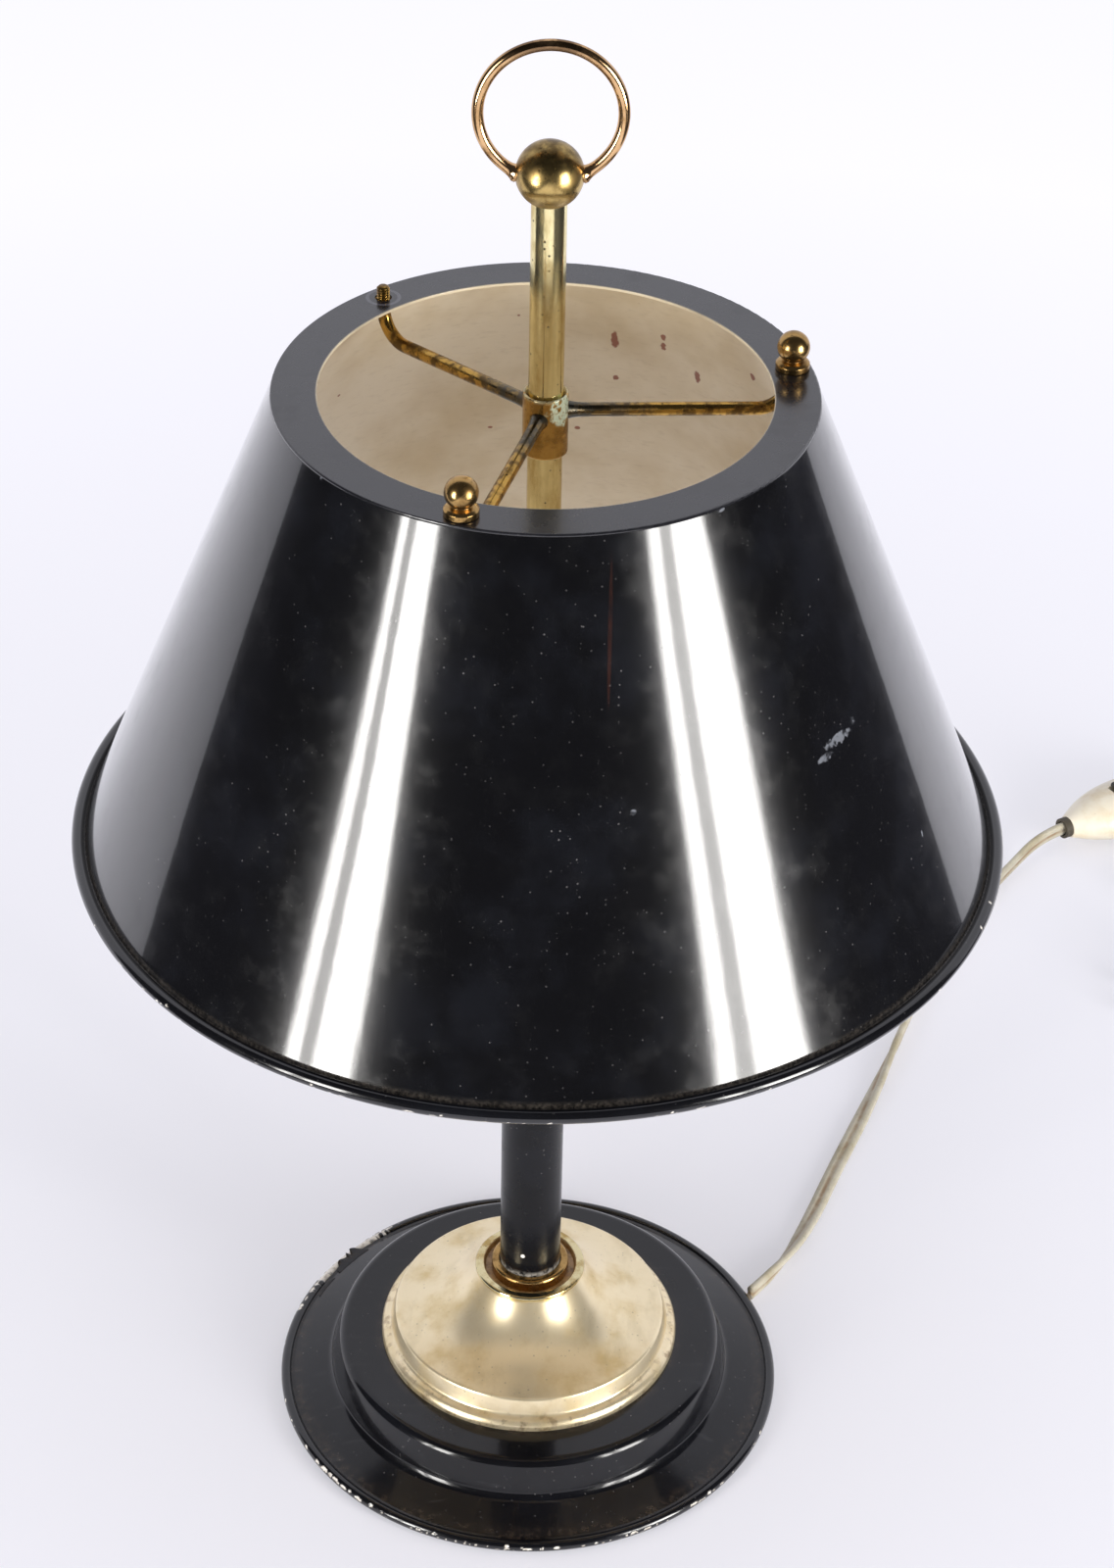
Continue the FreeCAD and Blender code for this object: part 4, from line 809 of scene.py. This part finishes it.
collar_rows = outline([(COLLAR_BORE, COLLAR_FOOT, 0.3), (COLLAR_RADIUS, COLLAR_FOOT, 0.5),
                       (COLLAR_RADIUS, COLLAR_TOP, 0.5), (5.9, COLLAR_TOP, 0.1),
                       (COLLAR_BORE, 381.1, 0.1)], longest=2)
collar = grid_piece("collar_turned", revolved(collar_rows, 120), joined_rows=True)
dress(collar, "shade", ["spider_collar"], "aged_brass", collar_finish)

bar_rows = outline([(5.5, 375.5, 0), (STUD_CIRCLE, 369.4, 9.0), (STUD_CIRCLE, THREAD_FOOT + 0.2, 0)],
                   closed=False, steps=24, longest=2, guard=0.1)
braze = np.exp(-np.maximum(bar_rows[:, 0] - COLLAR_RADIUS, 0) / 1.3)
turn = np.linspace(0, 2 * math.pi, 28, endpoint=False)[None]
climb = np.arange(THREAD_FOOT, STUD_TOP, 0.07)[:, None]
ridge = np.abs(np.mod(climb / THREAD_PITCH - turn / (2 * math.pi), 1) - 0.5) * 2
thread_radius = np.minimum(BAR_RADIUS - THREAD_DEPTH * ridge, STUD_TOP - climb + 1.3)
for number, azimuth in enumerate(STUD_AZIMUTHS, 1):
    outward = np.array([math.cos(math.radians(azimuth)), math.sin(math.radians(azimuth)), 0])
    line = bar_rows[:, :1] * outward + bar_rows[:, 1:] * [0.0, 0.0, 1.0]
    bar = round_tube("spider_bar_%d" % number, line, BAR_RADIUS + 0.8 * braze,
                     np.cross([0.0, 0.0, 1.0], outward))
    dress(bar, "shade", ["spider_arm_%d" % number], "spider_brass", spider_finish)
    centre = STUD_CIRCLE * outward
    stud_grid = np.stack([centre[0] + thread_radius * np.cos(turn),
                          centre[1] + thread_radius * np.sin(turn), climb + 0 * turn], -1)
    stud = grid_piece("stud_thread_%d" % number, MM * stud_grid)
    dress(stud, "shade", ["spider_arm_%d" % number], "spider_brass", spider_finish)

# %% Ball nuts
NUT_BALL, NUT_NECK, NUT_HEIGHT = 4.7, 2.9, 11.5
NUT_BORE, NUT_BORE_DEPTH = 2.05, 5.5


def ball_nut(name, azimuth, node, body):
    """Turned nut: bore, bevelled skirt, neck and ball in one outline, moved to its stud."""
    middle = NUT_HEIGHT - NUT_BALL
    sphere = np.linspace(-math.acos(NUT_NECK / NUT_BALL), math.pi / 2, 28)
    skirt = outline([(POLE, NUT_BORE_DEPTH, 0), (NUT_BORE, NUT_BORE_DEPTH, 0.1),
                     (NUT_BORE, 0.0, 0.1), (4.9, 0.0, 0.3), (4.9, 1.9, 0.35), (4.2, 2.6, 0.3),
                     (NUT_NECK, middle + NUT_BALL * math.sin(sphere[0]), 0)], closed=False)
    rows = np.vstack([skirt[:-1], np.column_stack([np.maximum(NUT_BALL * np.cos(sphere), POLE),
                                                   middle + NUT_BALL * np.sin(sphere)])])
    rows[:, 1] += SHADE_TOP + 0.05
    grid = moved(revolved(rows, 72), STUD_CIRCLE, azimuth)
    dress(grid_piece(name, grid), body, [node], "aged_brass", aged)


ball_nut("front_ball_nut", STUD_AZIMUTHS[0], "ball_nut_front", "nut_front")
ball_nut("right_ball_nut", STUD_AZIMUTHS[1], "ball_nut_right", "nut_right")

# %% [markdown]
# ## Lampholder screw shells
#
# Inside the shade two small lampholders stand upright. Their screw shells are drawn from thin
# brass and rolled with a round thread: the wall's radius follows a sine of the height divided
# by the pitch minus the turn, inside and outside alike.

# %% Screw shells
HOLDER_SPREAD, HOLDER_AZIMUTH = 35.0, -18.0
SHELL_PITCH, SHELL_LOW, SHELL_HIGH = 2.82, 257.0, 277.0
SHELL_BORE, SHELL_OUTSIDE, SHELL_FLANGE = 6.9, 7.5, 10.8


def rolled_thread(angle, radius, height):
    """Round thread 0.44 mm deep on the shell's wall; its flange at the foot stays flat."""
    wall = (height > SHELL_LOW + 1.5) & (radius < SHELL_OUTSIDE + 0.5)
    return radius + wall * 0.22 * np.sin(2 * math.pi * height / SHELL_PITCH - angle), height


shell_rows = outline([(SHELL_BORE, SHELL_LOW, 0.1), (SHELL_FLANGE, SHELL_LOW, 0.1),
                      (SHELL_FLANGE, SHELL_LOW + 0.6, 0.1), (SHELL_OUTSIDE, SHELL_LOW + 0.6, 0.3),
                      (SHELL_OUTSIDE, SHELL_HIGH, 0.1), (SHELL_BORE, SHELL_HIGH, 0.1)], longest=0.4)
shell_brass, *_ = brass("socket_shell_brass", "#d8bb74", "#a58848", 6.0)
for number, azimuth in ((1, HOLDER_AZIMUTH), (2, HOLDER_AZIMUTH + 180)):
    grid = moved(revolved(shell_rows, 96, rolled_thread), HOLDER_SPREAD, azimuth)
    shell = grid_piece("screw_shell_%d" % number, grid, joined_rows=True)
    dress(shell, "lamp_stand", ["holder_screw_%d" % number], "socket_brass", shell_brass)

# %% [markdown]
# ## The cord
#
# The flex is a flat twin: two round cores side by side with a shallow groove between them. It
# leaves the base on its edge, turns over to lie flat, and stands on its edge again before the
# switch. A bevelled curve could only give it a round section, so the route is a smooth spline
# through listed points, and the flat section is carried along the line that the spline
# gives, turned by an angle that changes along the way.

# %% Cord routes, in millimetres
CORD_WIDTH = 5.8
CORD_THICKNESS = 2.9
FLOOR_GAP = 0.05
FLAT = CORD_THICKNESS / 2 + FLOOR_GAP
EDGE = CORD_WIDTH / 2 + FLOOR_GAP
SWITCH_MIDDLE = 10.0
PLUG_MIDDLE = 6.85

# Two layers of three turns, in and out again at a steady rate; the upper layer rests on the
# lower one, and both are lifted by the tie that passes under them
COIL_CENTRE = (297.0, 266.0)
COIL_RADIUS = 43.1
COIL_PITCH = 6.4
COIL_TURNS = 3
COIL_POINTS_PER_TURN = 16
LAYER = CORD_WIDTH + 0.15
TIE_LIFT = 1.3

lead_route = [
    (77.2, 37.0, EDGE), (88.5, 50.5, 3.2), (99.6, 74.0, 2.2), (110.6, 104.5, FLAT),
    (124.4, 138.2, 2.1), (139.0, 178.1, EDGE), (154.6, 224.0, EDGE), (173.8, 261.0, EDGE),
    (191.4, 287.0, 3.55), (205.309, 301.25, SWITCH_MIDDLE), (217.0, 308.0, SWITCH_MIDDLE),
]
tail_route = [
    (274.158, 341.0, SWITCH_MIDDLE), (284.983, 347.25, SWITCH_MIDDLE), (301.5, 352.5, 6.15),
    (318.0, 350.5, EDGE), (332.5, 340.5, EDGE), (340.0, 324.5, EDGE), (341.6, 306.0, EDGE),
    (340.1, 288.0, EDGE), (340.1, 271.8, EDGE),
]
end_route = [
    (340.1, 260.2, EDGE + LAYER), (340.1, 247.5, EDGE + LAYER), (342.4, 232.4, 8.0),
    (338.0, 219.1, 7.0), (330.0, 208.9, PLUG_MIDDLE), (319.0, 203.0, PLUG_MIDDLE),
    (306.5, 203.0, PLUG_MIDDLE),
]


def coil_route():
    """Spiral in and out: the radius falls by the pitch each turn, the height by a smooth step.

    Points of a quadratic spline lie outside its line by about half the square of the step, so
    the radius is divided by one minus that.
    """
    full = 2 * math.pi * COIL_TURNS
    angle = np.linspace(0, 2 * full, 2 * COIL_TURNS * COIL_POINTS_PER_TURN + 1)
    inset = COIL_PITCH * np.minimum(angle, 2 * full - angle) / (2 * math.pi)
    climb = np.clip((angle - full + math.pi / 2) / math.pi, 0, 1)
    from_tie = np.mod(angle, 2 * math.pi) - math.pi
    height = EDGE + LAYER * (3 * climb ** 2 - 2 * climb ** 3) + TIE_LIFT * np.exp(
        -(from_tie / 0.45) ** 2)
    radius = (COIL_RADIUS - inset) / (1 - (math.pi / COIL_POINTS_PER_TURN) ** 2 / 2)
    turns = np.column_stack([COIL_CENTRE[0] + radius * np.cos(angle),
                             COIL_CENTRE[1] - radius * np.sin(angle), height])
    return [tail_route[-1], *turns.tolist(), end_route[0]]


# %% Spline and flat section
def spline_line(route, segments=12):
    """Points in metres along a quadratic B-spline whose control points are the route's."""
    curve = bpy.data.curves.new("route", "CURVE")
    curve.dimensions = "3D"
    spline = curve.splines.new("NURBS")
    spline.points.add(len(route) - 1)
    for point, spot_on_route in zip(spline.points, route):
        point.co = (*(v * MM for v in spot_on_route), 1.0)
    spline.order_u = 3
    spline.use_endpoint_u = True
    curve.resolution_u = segments
    holder = bpy.data.objects.new("route", curve)
    bpy.context.scene.collection.objects.link(holder)
    shaped = holder.evaluated_get(bpy.context.evaluated_depsgraph_get())
    mesh = bpy.data.meshes.new_from_object(shaped)
    line = np.empty(len(mesh.vertices) * 3)
    mesh.vertices.foreach_get("co", line)
    bpy.data.objects.remove(holder)
    bpy.data.curves.remove(curve)
    bpy.data.meshes.remove(mesh)
    return line.reshape(-1, 3)


def flat_cord(name, route, twist_keys, sides=28, groove=0.45, groove_width=0.75):
    """Flat twin section carried along a route's spline; gives the piece and the line.

    Across the cord x is half the width times cos u with its corners filled out, and the height
    is half the thickness times sin u less a bell-shaped groove. The wide axis is turned out of
    the level by the twist, keyed as (running length in mm, degrees), and the section is lifted
    where its lowest point would enter the table.
    """
    line = spline_line(route)
    tangent = np.gradient(line, axis=0)
    tangent /= np.linalg.norm(tangent, axis=1, keepdims=True)
    side = np.cross(tangent, [0.0, 0.0, 1.0])
    side /= np.linalg.norm(side, axis=1, keepdims=True)
    lift = np.cross(side, tangent)
    run = np.r_[0, np.cumsum(np.linalg.norm(np.diff(line, axis=0), axis=1))] / MM
    twist = np.radians(np.interp(run, *zip(*twist_keys)))[:, None]
    wide = np.cos(twist) * side + np.sin(twist) * lift
    thin = np.cos(twist) * lift - np.sin(twist) * side
    u = np.linspace(0, 2 * math.pi, sides, endpoint=False)
    x = CORD_WIDTH / 2 * np.sign(np.cos(u)) * np.abs(np.cos(u)) ** 0.8
    y = CORD_THICKNESS / 2 * np.sign(np.sin(u)) * np.abs(np.sin(u)) ** 0.75
    y *= 1 - groove / (CORD_THICKNESS / 2) * np.exp(-(x / groove_width) ** 2)
    grid = line[:, None] + MM * (x[:, None] * wide[:, None] + y[:, None] * thin[:, None])
    sunk = np.maximum(FLOOR_GAP * MM - grid[..., 2].min(1), 0)
    grid[..., 2] += sunk[:, None]
    across = np.array(np.broadcast_to(x, grid.shape[:2]))
    piece = grid_piece(name, grid, facts={"across": across})
    return piece, line


lead, lead_line = flat_cord("flex_lead", lead_route, [(0, 90), (12, 85), (35, 25), (52, 0),
                                                      (100, 0), (128, 40), (150, 84), (310, 90)])
tail, tail_line = flat_cord("flex_tail", tail_route, [(0, 90), (140, 90)])
coil, coil_line = flat_cord("flex_coil", coil_route(), [(0, 90), (1300, 90)])
tip, tip_line = flat_cord("flex_end", end_route, [(0, 90), (30, 90), (70, 0), (80, 0)])

# %% [markdown]
# Old flex is soft PVC that was once ivory. The plastic has gone yellow-grey and a little clear,
# so the brown of the two cores' copper shows along the middle, and dirt sits in the groove.
# The material reads how far across the cord a point lies.

# %% Cord finish
flex_finish, tree, shader, place = blank("aged_pvc_flex", Subsurface_Weight=0.12)
fill(tree, shader, {"Subsurface Scale": 0.8 * MM, "Subsurface Radius": (1.0, 0.8, 0.5)})
across = add(tree, "Attribute", out=2, attribute_name="across")
middle = add(tree, "MapRange",
             {0: add(tree, "Math", {0: across}, operation="ABSOLUTE"), 1: 1.15, 2: 0.1}, **SOFT)
cores = patches(tree, place, 9, 0.32, 0.62)
plastic = laid_over(tree, linear("#b9b3a0"), linear("#a2987c"), patches(tree, place, 14, 0.4, 0.7))
plastic = laid_over(tree, plastic, linear("#8d6f49"), middle,
                    add(tree, "MapRange", {0: cores, 3: 0.15, 4: 0.85}))
grime = patches(tree, place, 2.2, 0.55, 0.75, detail=7.0)
plastic = laid_over(tree, plastic, linear("#7d7460"), grime, 0.35)
skin = add(tree, "Bump",
           {"Height": add(tree, "TexNoise", {"Vector": place, "Scale": 0.8, "Detail": 4.0}),
            "Distance": 0.04 * MM})
fill(tree, shader,
     {"Base Color": plastic, "Roughness": add(tree, "MapRange", {0: grime, 3: 0.35, 4: 0.6}),
      "Normal": skin})


# %% Cords hooked up
def as_cord(piece, node):
    """Hooks a stretch of flex up to the stand, with the cord's finish."""
    dress(piece, "lamp_stand", [node], "cord_pvc", flex_finish)


as_cord(lead, "cord_lead")
as_cord(tail, "cord_tail")
as_cord(coil, "cord_coil")
as_cord(tip, "cord_end")

# %% [markdown]
# ## Finishes of the pieces that keep their shape
#
# The flat ring on top of the shade, the nuts under it, the lampholders, the switch and the plug
# keep the shapes that they came with, and get the surfaces of their materials: satin enamel,
# moulded plastic, fired steatite, felt, cast iron.

# %% Flat ring
ring_paint, tree, shader, place, paint = black_enamel("satin_black_enamel_ring", "#18181c", 0.26,
                                                      0.35, 0.14, 0.8)
distance, height = axis_distance(tree, place)
# The paint is turned over the edge of the opening, where a line of cream shows
edge = where_all(tree, add(tree, "MapRange", {0: distance, 1: 64.75, 2: 64.55}, **SOFT),
                 add(tree, "MapRange", {0: height, 1: SHADE_TOP + 0.1, 2: SHADE_TOP - 0.2}, **SOFT))
under = add(tree, "MapRange", {0: height, 1: SHADE_TOP - 0.6, 2: SHADE_TOP - 0.75}, **SOFT)
under_side = where_all(tree, under, add(tree, "MapRange", {0: distance, 1: 76.9, 2: 76.6}, **SOFT))
paint = laid_over(tree, paint, linear("#e6d7b8"), where_any(tree, edge, under_side))
# A nut has rubbed the paint round the bare stud
bare_stud = (STUD_CIRCLE * math.cos(math.radians(STUD_AZIMUTHS[2])),
             STUD_CIRCLE * math.sin(math.radians(STUD_AZIMUTHS[2])), SHADE_TOP)
seat = add(tree, "VectorMath", {0: place, 1: bare_stud}, out=1, operation="DISTANCE")
seat = where_all(tree, add(tree, "MapRange", {0: seat, 1: 5.4, 2: 5.0}, **SOFT),
                 add(tree, "MapRange", {0: seat, 1: 3.9, 2: 4.4}, **SOFT))
paint = laid_over(tree, paint, linear("#74747c"), seat, 0.5)
fill(tree, shader, {"Base Color": paint})


# %% Moulded, cast and fired materials
def moulded(name, colour, worn, roughness=0.35, depth=0.01, **constants):
    """Pressed plastic: an even colour, yellowed or dusty in clouds, with a fine skin."""
    made, tree, shader, place = blank(name, **constants)
    clouds = patches(tree, place, 9, 0.4, 0.75)
    body = laid_over(tree, linear(colour), linear(worn), clouds)
    dirt = where_all(tree, specks(tree, place, 3.5, 0.3, 0.25), 0.5)
    body = laid_over(tree, body, linear("#5a4c38"), dirt)
    skin = add(tree, "Bump",
               {"Height": add(tree, "TexNoise", {"Vector": place, "Scale": 1.5}),
                "Distance": depth * MM})
    fill(tree, shader,
         {"Base Color": body, "Normal": skin,
          "Roughness": add(tree, "MapRange", {0: clouds, 3: roughness, 4: roughness + 0.15})})
    return made


def grainy(name, colour, other, grain, depth, roughness, **constants):
    """Cast, fired or felted stuff: two colours mixed by a fine grain that also stands up."""
    made, tree, shader, place = blank(name, **constants)
    grains = patches(tree, place, grain, 0.35, 0.65, detail=8.0)
    fill(tree, shader,
         {"Base Color": laid_over(tree, linear(colour), linear(other), grains),
          "Roughness": add(tree, "MapRange", {0: grains, 3: roughness - 0.1, 4: roughness}),
          "Normal": add(tree, "Bump", {"Height": grains, "Distance": depth * MM})})
    return made


nickel, *_ = brass("nickel_plated_pins", "#d2ccc2", "#a59c8c", 6.0, (0.5, 0.8), 0.3, (0.2, 0.3))
zinc, *_ = brass("zinc_plated_steel", "#a8a9a6", "#80807a", 4.0, (0.4, 0.7), 0.3, (0.32, 0.45))
cream_plastic = moulded("ivory_urea_plastic", "#e9e1cc", "#dccdae", 0.28, 0.006)
slot_finishes = {
    "black_enamel_base": base_paint, "black_enamel_column": column_paint,
    "black_enamel_shade": shade_paint, "black_enamel_ring": ring_paint,
    "polished_brass": dish_brass, "aged_brass": aged, "rod_brass": rod_finish,
    "spider_brass": spider_finish, "socket_brass": shell_brass, "zinc_steel": zinc,
    "nickel_pins": nickel, "cord_pvc": flex_finish, "switch_plastic": cream_plastic,
    "plug_plastic": cream_plastic,
    "cast_iron": grainy("cast_iron_weight", "#2e2d2c", "#4a3d34", 1.2, 0.08, 0.85, Metallic=0.3),
    "felt": grainy("wool_felt_green", "#2f3d31", "#222c25", 0.5, 0.12, 0.97, Sheen_Weight=0.4),
    "steatite": grainy("glazed_steatite", "#e3dfd4", "#cfc8b8", 2.0, 0.01, 0.5),
    "bakelite": moulded("brown_bakelite", "#241610", "#36241a", 0.25),
    "wire_pvc": moulded("pvc_wire_sleeve", "#c9c6ba", "#aaa592", 0.45),
    "rocker_plastic": moulded("dark_rocker_plastic", "#2a2622", "#3a342e", 0.3),
    "gland_rubber": moulded("old_rubber_gland", "#4b4436", "#2b261e", 0.6),
    "tie_pvc": moulded("white_pvc_tie", "#d8d5cc", "#c2bdb0", 0.4),
}
for part in frame["record"]["subparts"]:
    node = frame["nodes"][part["node"]]
    node.data.materials.clear()
    node.data.materials.append(slot_finishes[part["material_slot"]])
print(len(bpy.data.materials), "materials")

# %% [markdown]
# ## Floor and background
#
# The lamp stands on a white paper sweep. The object itself is lit by plain paper, but what the
# camera and the mirrors see of it is drawn a little brighter away from the lamp, as in the
# photograph, by a weak glow that only those rays meet. The glossy cone mirrors the paper's front
# edge, which runs back at a slant on both sides of the lamp. Before it lies the dark studio, but
# for a narrow strip of paper that runs on to the camera.

# %% Paper sweep
FLOOR_REACH = 6.0
RIGHT_EDGE = (-0.37, 0.87)     # y in metres where the edge's line meets x = 0, and its slope
LEFT_EDGE = (-0.31, -0.387)
STRIP_HALF_WIDTH = 0.45
GLOW_FROM, GLOW_TO = 0.1, 0.95
GLOW_NEAR, GLOW_FAR = 0.36, 0.64
floor_mesh = bpy.data.meshes.new("floor")
floor_corners = [(-1, -1), (1, -1), (1, 1), (-1, 1)]
floor_mesh.from_pydata([(x * FLOOR_REACH, y * FLOOR_REACH, 0) for x, y in floor_corners], [],
                       [(0, 1, 2, 3)])
floor = bpy.data.objects.new("floor", floor_mesh)
bpy.context.scene.collection.objects.link(floor)


def ray_kinds(tree):
    """Masks for rays that come from the camera, and from a mirror or glass."""
    seen = add(tree, "LightPath")
    rays = seen.node.outputs
    return seen, where_any(tree, rays["Is Glossy Ray"], rays["Is Transmission Ray"])


floor_paper = bpy.data.materials.new("seamless_paper")
floor_paper.use_nodes = True
tree = floor_paper.node_tree
tree.nodes.clear()
on_floor = add(tree, "TexCoord", out=3)
floor_x = add(tree, "SeparateXYZ", {0: on_floor})
floor_y = floor_x.node.outputs[1]
from_lamp = add(tree, "VectorMath", {0: on_floor}, out=1, operation="LENGTH")
from_camera, mirrored = ray_kinds(tree)
edges = [add(tree, "Math", {0: floor_x, 1: slope, 2: start}, operation="MULTIPLY_ADD")
         for start, slope in (RIGHT_EDGE, LEFT_EDGE)]
front_edge = add(tree, "Math", {0: edges[0], 1: edges[1]}, operation="MAXIMUM")
behind_edge = add(tree, "Math", {0: floor_y, 1: front_edge}, operation="GREATER_THAN")
from_middle = add(tree, "Math", {0: floor_x}, operation="ABSOLUTE")
in_strip = add(tree, "Math", {0: from_middle, 1: STRIP_HALF_WIDTH}, operation="LESS_THAN")
on_paper = where_any(tree, behind_edge, in_strip)
grade = add(tree, "MapRange", {0: from_lamp, 1: GLOW_FROM, 2: GLOW_TO, 3: GLOW_NEAR, 4: GLOW_FAR})
glow = add(tree, "Emission", {"Color": linear("#fbfaff"), "Strength": grade})
plain = add(tree, "BsdfDiffuse", {"Color": linear("#eeeef4")})
seen_paper = add(tree, "AddShader", {0: add(tree, "BsdfDiffuse", {"Color": linear("#bcbcc2")}),
                                     1: glow})
studio_dark = add(tree, "Emission", {"Color": linear("#404046"), "Strength": 1.0})
mirror_view = add(tree, "MixShader", {0: on_paper, 1: studio_dark, 2: seen_paper})
light = add(tree, "MixShader", {0: mirrored, 1: plain, 2: mirror_view})
light = add(tree, "MixShader", {0: from_camera, 1: light, 2: seen_paper})
add(tree, "OutputMaterial", {"Surface": light})
floor_mesh.materials.append(floor_paper)

# %% World
SWEEP_FROM, SWEEP_FULL = 0.26, 0.31    # the share of a direction that points to the back
DARK_SIDE, LIT_SIDE = 0.045, 0.95
world = bpy.data.worlds.new("studio")
bpy.context.scene.world = world
world.use_nodes = True
tree = world.node_tree
tree.nodes.clear()
towards_back = add(tree, "SeparateXYZ", {0: add(tree, "TexCoord")}, out=1)
sweep_light = add(tree, "MapRange", {0: towards_back, 1: SWEEP_FROM, 2: SWEEP_FULL,
                                     3: DARK_SIDE, 4: LIT_SIDE}, **SOFT)
from_camera, mirrored = ray_kinds(tree)
ambient = add(tree, "Background", {"Color": linear("#f5f5ff"), "Strength": 0.66})
sweep = add(tree, "Background", {"Color": linear("#f3f3fc"), "Strength": sweep_light})
plain = add(tree, "Background", {"Color": linear("#fcfcff"), "Strength": 1.02})
light = add(tree, "MixShader", {0: mirrored, 1: ambient, 2: sweep})
light = add(tree, "MixShader", {0: from_camera, 1: light, 2: plain})
add(tree, "OutputWorld", {"Surface": light})

# %% [markdown]
# ## Soft boxes
#
# A tall soft box stands on each side of the camera. A real box is brighter near its lamp and
# fades at its seams, and the shade mirrors that: two bands with a fuzzy edge and a dimmer core.
# The profile across and up the box is drawn on the light itself.

# %% Lights
def soft_box(name, azimuth, distance, width, low, high, radiance, core):
    """Upright area light that faces the lamp's axis; its power is radiance times pi times area.

    The core is (place, half width, depth) of the dim streak across the box, as shares.
    """
    tall = high - low
    lamp_data = bpy.data.lights.new(name, "AREA")
    lamp_data.shape = "RECTANGLE"
    lamp_data.size, lamp_data.size_y = width, tall
    lamp_data.energy = radiance * math.pi * width * tall
    lamp_data.use_nodes = True
    tree = lamp_data.node_tree
    tree.nodes.clear()
    u = add(tree, "SeparateXYZ", {0: add(tree, "NewGeometry", out=5)})
    v = u.node.outputs[1]
    edge = add(tree, "Math", {0: u, 1: 0.5}, operation="SUBTRACT")
    edge = add(tree, "MapRange",
               {0: add(tree, "Math", {0: edge}, operation="ABSOLUTE"), 1: 0.5, 2: 0.36}, **SOFT)
    dim = add(tree, "Math", {0: u, 1: core[0]}, operation="SUBTRACT")
    dim = add(tree, "MapRange",
              {0: add(tree, "Math", {0: dim}, operation="ABSOLUTE"), 1: 0.4 * core[1], 2: core[1]},
              **SOFT)
    dim = add(tree, "MapRange", {0: dim, 3: 1 - core[2], 4: 1.0})
    fade = add(tree, "MapRange",
               {0: add(tree, "MapRange", {0: v, 1: 1.0, 2: 0.55}, **SOFT), 3: 0.25, 4: 1.0})
    strength = where_all(tree, edge, dim, fade)
    add(tree, "OutputLight", {"Surface": add(tree, "Emission", {"Color": linear("#fffdfa"),
                                                                "Strength": strength})})
    lamp = bpy.data.objects.new(name, lamp_data)
    angle = math.radians(azimuth)
    lamp.location = (distance * math.cos(angle), distance * math.sin(angle), (low + high) / 2)
    inward = Vector((-math.cos(angle), -math.sin(angle), 0.0))
    lamp.rotation_euler = inward.to_track_quat("-Z", "Y").to_euler()
    bpy.context.scene.collection.objects.link(lamp)


for name, azimuth, width, core in (("box_left", -137.0, 0.5, (0.33, 0.13, 0.85)),
                                   ("box_right", -39.5, 0.72, (0.34, 0.13, 0.75))):
    soft_box(name, azimuth, distance=1.6, width=width, low=0.0, high=1.0, radiance=22.0, core=core)

# %% The view transform, and the end
bpy.context.scene.view_settings.view_transform = "Standard"
